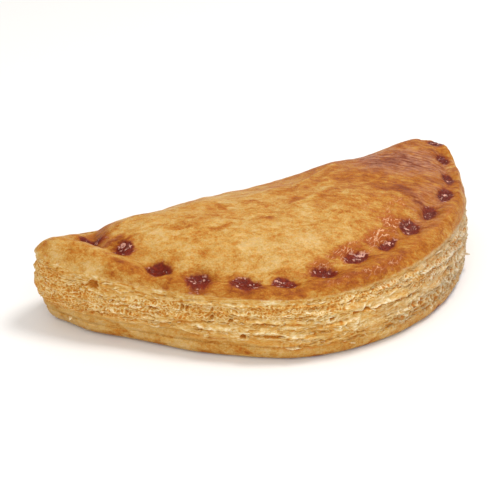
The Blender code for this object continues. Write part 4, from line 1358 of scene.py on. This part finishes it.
class Pastry(Shader):
    """Egg-washed skin, dark dimples and cream flaky layers, told apart by the mesh's masks."""

    def __init__(self, name, depth):
        super().__init__(name)
        self.bake, self.gloss, self.wet, self.dry = map(self.attribute, ("bake", "gloss", "wet", "dry"))
        patterns = (MOTTLE, SPECKS, SPOTS, GRAIN, STREAKS)
        self.mottle, self.speck, self.spots, self.grain, self.streak = (
            self.noise(*pattern) for pattern in patterns)
        self.thread = self.fibres(*THREADS)
        self.flaky = self.frayed(self.attribute("flaky"), 0.9)
        self.char = self.frayed(self.attribute("char"), 0.45)
        self.make_wrinkles()
        self.make_glints()
        colour = self.mix(self.flaky, self.skin(), self.layers())
        colour = self.mix(self.char, colour, self.burnt())
        # Painted glints on the glassy egg wash
        colour = self.mix(self.scaled(self.glint, GLINT), colour, GLINT_COLOUR)
        self.set_surface(colour, depth)

    def frayed(self, mask, amount):
        """A mask whose border is ragged."""
        halfway = self.scaled(self.times(mask, self.math("SUBTRACT", 1.0, mask)), 4.0)
        fray = self.times(self.scaled(self.speck, amount, -amount / 2), halfway)
        return self.math("ADD", mask, fray, clamped=True)

    def make_wrinkles(self):
        """Fine pale lines of the skin, and the streaks where it is brown."""
        wrinkle = self.math("ABSOLUTE", self.scaled(self.noise(*WRINKLES), 2.0, -1.0))
        self.line = self.clipped(wrinkle, -10.0, 1.0)
        brown = self.clipped(self.bake, 2.6, -1.2)
        self.streaky = self.times(brown, self.scaled(self.streak, 1.0, -0.5))

    def make_glints(self):
        """Painted highlights on the shiny wrinkles of the glassy egg wash, broken up by the spots."""
        net = self.clipped(self.crackle(*GLINTS), -10.0, 1.0)
        glint = self.times(net, self.clipped(self.spots, 10.0, -4.9))
        self.glint = self.times(glint, self.wet)

    def skin(self):
        """Skin from pale to brown, calmer where it is brown, with its painted sheen and thick glaze."""
        browned = self.clipped(self.bake, 3.0, -1.2)
        mottling, calm = self.scaled(browned, -0.45, 0.8), self.scaled(browned, -0.6, 1.0)
        baked = self.scaled(self.scaled(self.mottle, 1.0, -0.5), mottling, self.bake)
        for pattern in (self.speck, self.grain):
            baked = self.scaled(self.scaled(pattern, 0.5, -0.25), calm, baked)
        for gain, offset, change in ((9.0, -5.1, 0.14), (-9.0, 4.0, -0.14)):
            baked = self.scaled(self.clipped(self.spots, gain, offset), change, baked)
        baked = self.math("ADD", self.scaled(self.line, -0.16, baked), self.streaky)
        # Painted sheen where the brown skin shines softly
        sheen = self.times(self.gloss, self.clipped(self.streak, -6.0, 3.3))
        sheen = self.times(sheen, self.clipped(self.bake, 5.0, -2.1))
        glaze = self.times(self.wet, self.clipped(self.spots, 7.0, -2.4))
        skin = self.mix(self.scaled(sheen, SHEEN), self.ramp(baked, SKIN_COLOURS), SHEEN_COLOUR)
        return self.mix(self.scaled(glaze, GLAZE), skin, GLAZE_COLOUR)

    def layers(self):
        """Bare layers, from cracks darkened by painted shade to pale flakes, with a web of walls where they
        are pitted.
        """
        light = self.math("ADD", self.attribute("crumb"), self.scaled(self.thread, 1.4, -0.7))
        wall = self.scaled(self.net(self.along_layers(*PIT_WALLS), 1.0), -2.0, 0.26)
        light = self.scaled(wall, self.attribute("pitted"), light)
        return self.mix(self.dry, self.ramp(light, CRUMB_COLOURS), self.ramp(light, DRY_COLOURS))

    def burnt(self):
        """Char in the dimples, with a painted grey sheen on the right and small clumped painted highlights.
        """
        patchy = self.scaled(self.spots, 0.9, self.scaled(self.speck, 1.2, -1.0))
        burnt = self.ramp(self.scaled(self.attribute("char"), 0.62, patchy), CHAR_COLOURS)
        # Painted grey sheen on the char near the right tip
        burnt = self.mix(self.scaled(self.dry, GREY_SHEEN), burnt, GREY_SHEEN_COLOUR)
        # Painted highlights, clumped by the spots
        shine = self.clipped(self.speck, 14.0, self.scaled(self.spots, 13.0, -15.2))
        return self.mix(shine, burnt, CHAR_SHINE)

    def set_surface(self, colour, depth):
        roughness = self.scaled(self.flaky, LAYERS_ROUGHER, SKIN_ROUGHNESS - MOTTLE_ROUGHNESS / 2)
        roughness = self.scaled(self.mottle, MOTTLE_ROUGHNESS, roughness)
        lumps = self.times(self.scaled(self.wet, 0.4, 0.7), self.scaled(self.char, -0.6, 1.0))
        skin_line = self.times(self.line, self.math("SUBTRACT", 1.0, self.flaky))
        speck = self.times(self.speck, lumps)
        normal = self.bumps((speck, *SPECK_BUMP), (self.streaky, *STREAK_BUMP), (skin_line, *LINE_BUMP),
                            (self.grain, *GRAIN_BUMP), (self.glint, *GLINT_BUMP),
                            (self.thread, *THREAD_BUMP))
        inputs = {
            "Base Color": colour,
            "Roughness": self.scaled(self.char, -CHAR_SMOOTHER, roughness),
            "Specular IOR Level": SPECULAR,
            "Coat Weight": self.scaled(self.gloss, COAT),
            "Coat Roughness": COAT_ROUGHNESS,
            "Normal": normal,
            "Coat Normal": normal,
            "Subsurface Weight": depth,
            "Subsurface Radius": SCATTER_RADIUS,
            "Subsurface Scale": SCATTER_DEPTH * MM,
        }
        for name, value in inputs.items():
            self.set_input(self.surface.inputs[name], value)


# ------------------------------
# Stage: camera, floor and light
# ------------------------------

CAMERA_TURN = -30.0         # degrees round the part, and above the floor
CAMERA_RISE = 28.0
CAMERA_AWAY = 463.0
CAMERA_TARGET = (-4.5, 20.0, 9.5)
CAMERA_LENS = 98.06
CAMERA_SENSOR = 36.0
CAMERA_NEAR = 0.01          # in metres, like the sizes of the floor and the lights
FLOOR_SIZE = 6.0
FLOOR_DROP = 0.1
FLOOR_COLOUR = (0.81, 0.79, 0.765)
FLOOR_ROUGHNESS = 0.9
FLOOR_SPECULAR = 0.1
KEY_FROM = (270.0, -50.0, 800.0)
KEY_SIZE = 0.30
KEY_POWER = 4.0
FILL_FROM = (-380.0, -560.0, 420.0)
FILL_SIZE = 0.8
FILL_POWER = 2.2
SKY_STRENGTH = 0.80


def add_object(data):
    """An object that shows this mesh, light or camera, under its name."""
    item = bpy.data.objects.new(data.name, data)
    bpy.context.scene.collection.objects.link(item)
    return item


def aim(item, place, back):
    """Move a camera or a lamp to a place in mm, with its back in this direction."""
    item.location = place * MM
    item.rotation_mode = "QUATERNION"
    item.rotation_quaternion = back.to_track_quat("Z", "Y")


def add_camera():
    turn, rise = math.radians(CAMERA_TURN), math.radians(CAMERA_RISE)
    back = Vector((math.sin(turn) * math.cos(rise), -math.cos(turn) * math.cos(rise), math.sin(rise)))
    camera = bpy.data.cameras.new("camera")
    camera.sensor_width = CAMERA_SENSOR
    camera.lens = CAMERA_LENS
    camera.clip_start = CAMERA_NEAR
    bpy.context.scene.camera = add_object(camera)
    aim(bpy.context.scene.camera, Vector(CAMERA_TARGET) + back * CAMERA_AWAY, back)


def add_floor():
    half = FLOOR_SIZE / 2
    level = -FLOOR_DROP * MM
    mesh = bpy.data.meshes.new("floor")
    mesh.from_pydata([(-half, -half, level), (half, -half, level), (half, half, level), (-half, half, level)],
                     [], [(0, 1, 2, 3)])
    material = bpy.data.materials.new("floor")
    material.use_nodes = True
    surface = material.node_tree.nodes["Principled BSDF"]
    surface.inputs["Base Color"].default_value = (*FLOOR_COLOUR, 1.0)
    surface.inputs["Roughness"].default_value = FLOOR_ROUGHNESS
    surface.inputs["Specular IOR Level"].default_value = FLOOR_SPECULAR
    mesh.materials.append(material)
    floor = add_object(mesh)


def add_softbox(name, place, size, power):
    light = bpy.data.lights.new(name, "AREA")
    light.shape = "DISK"
    light.size = size
    light.energy = power
    aim(add_object(light), Vector(place), Vector(place))


def add_sky():
    world = bpy.data.worlds.new("studio")
    world.use_nodes = True
    background = world.node_tree.nodes["Background"]
    background.inputs["Color"].default_value = (1.0, 1.0, 1.0, 1.0)
    background.inputs["Strength"].default_value = SKY_STRENGTH
    bpy.context.scene.world = world


# ------------------------------
# The scene
# ------------------------------

add_camera()
add_floor()
add_softbox("key", KEY_FROM, KEY_SIZE, KEY_POWER)
add_softbox("fill", FILL_FROM, FILL_SIZE, FILL_POWER)
add_sky()
bpy.context.scene.view_settings.view_transform = "Standard"

crust = Crust(Outline())
for mesh, finish in ((crust.mesh(), Pastry("baked_crust", CRUST_SCATTER)),
                     (Flakes(crust).mesh(), Pastry("loose_flakes", 0.0))):
    mesh.materials.append(finish.material)
    piece = add_object(mesh)
    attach(piece, "root")
    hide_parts("pastry")

bpy.context.view_layer.update()
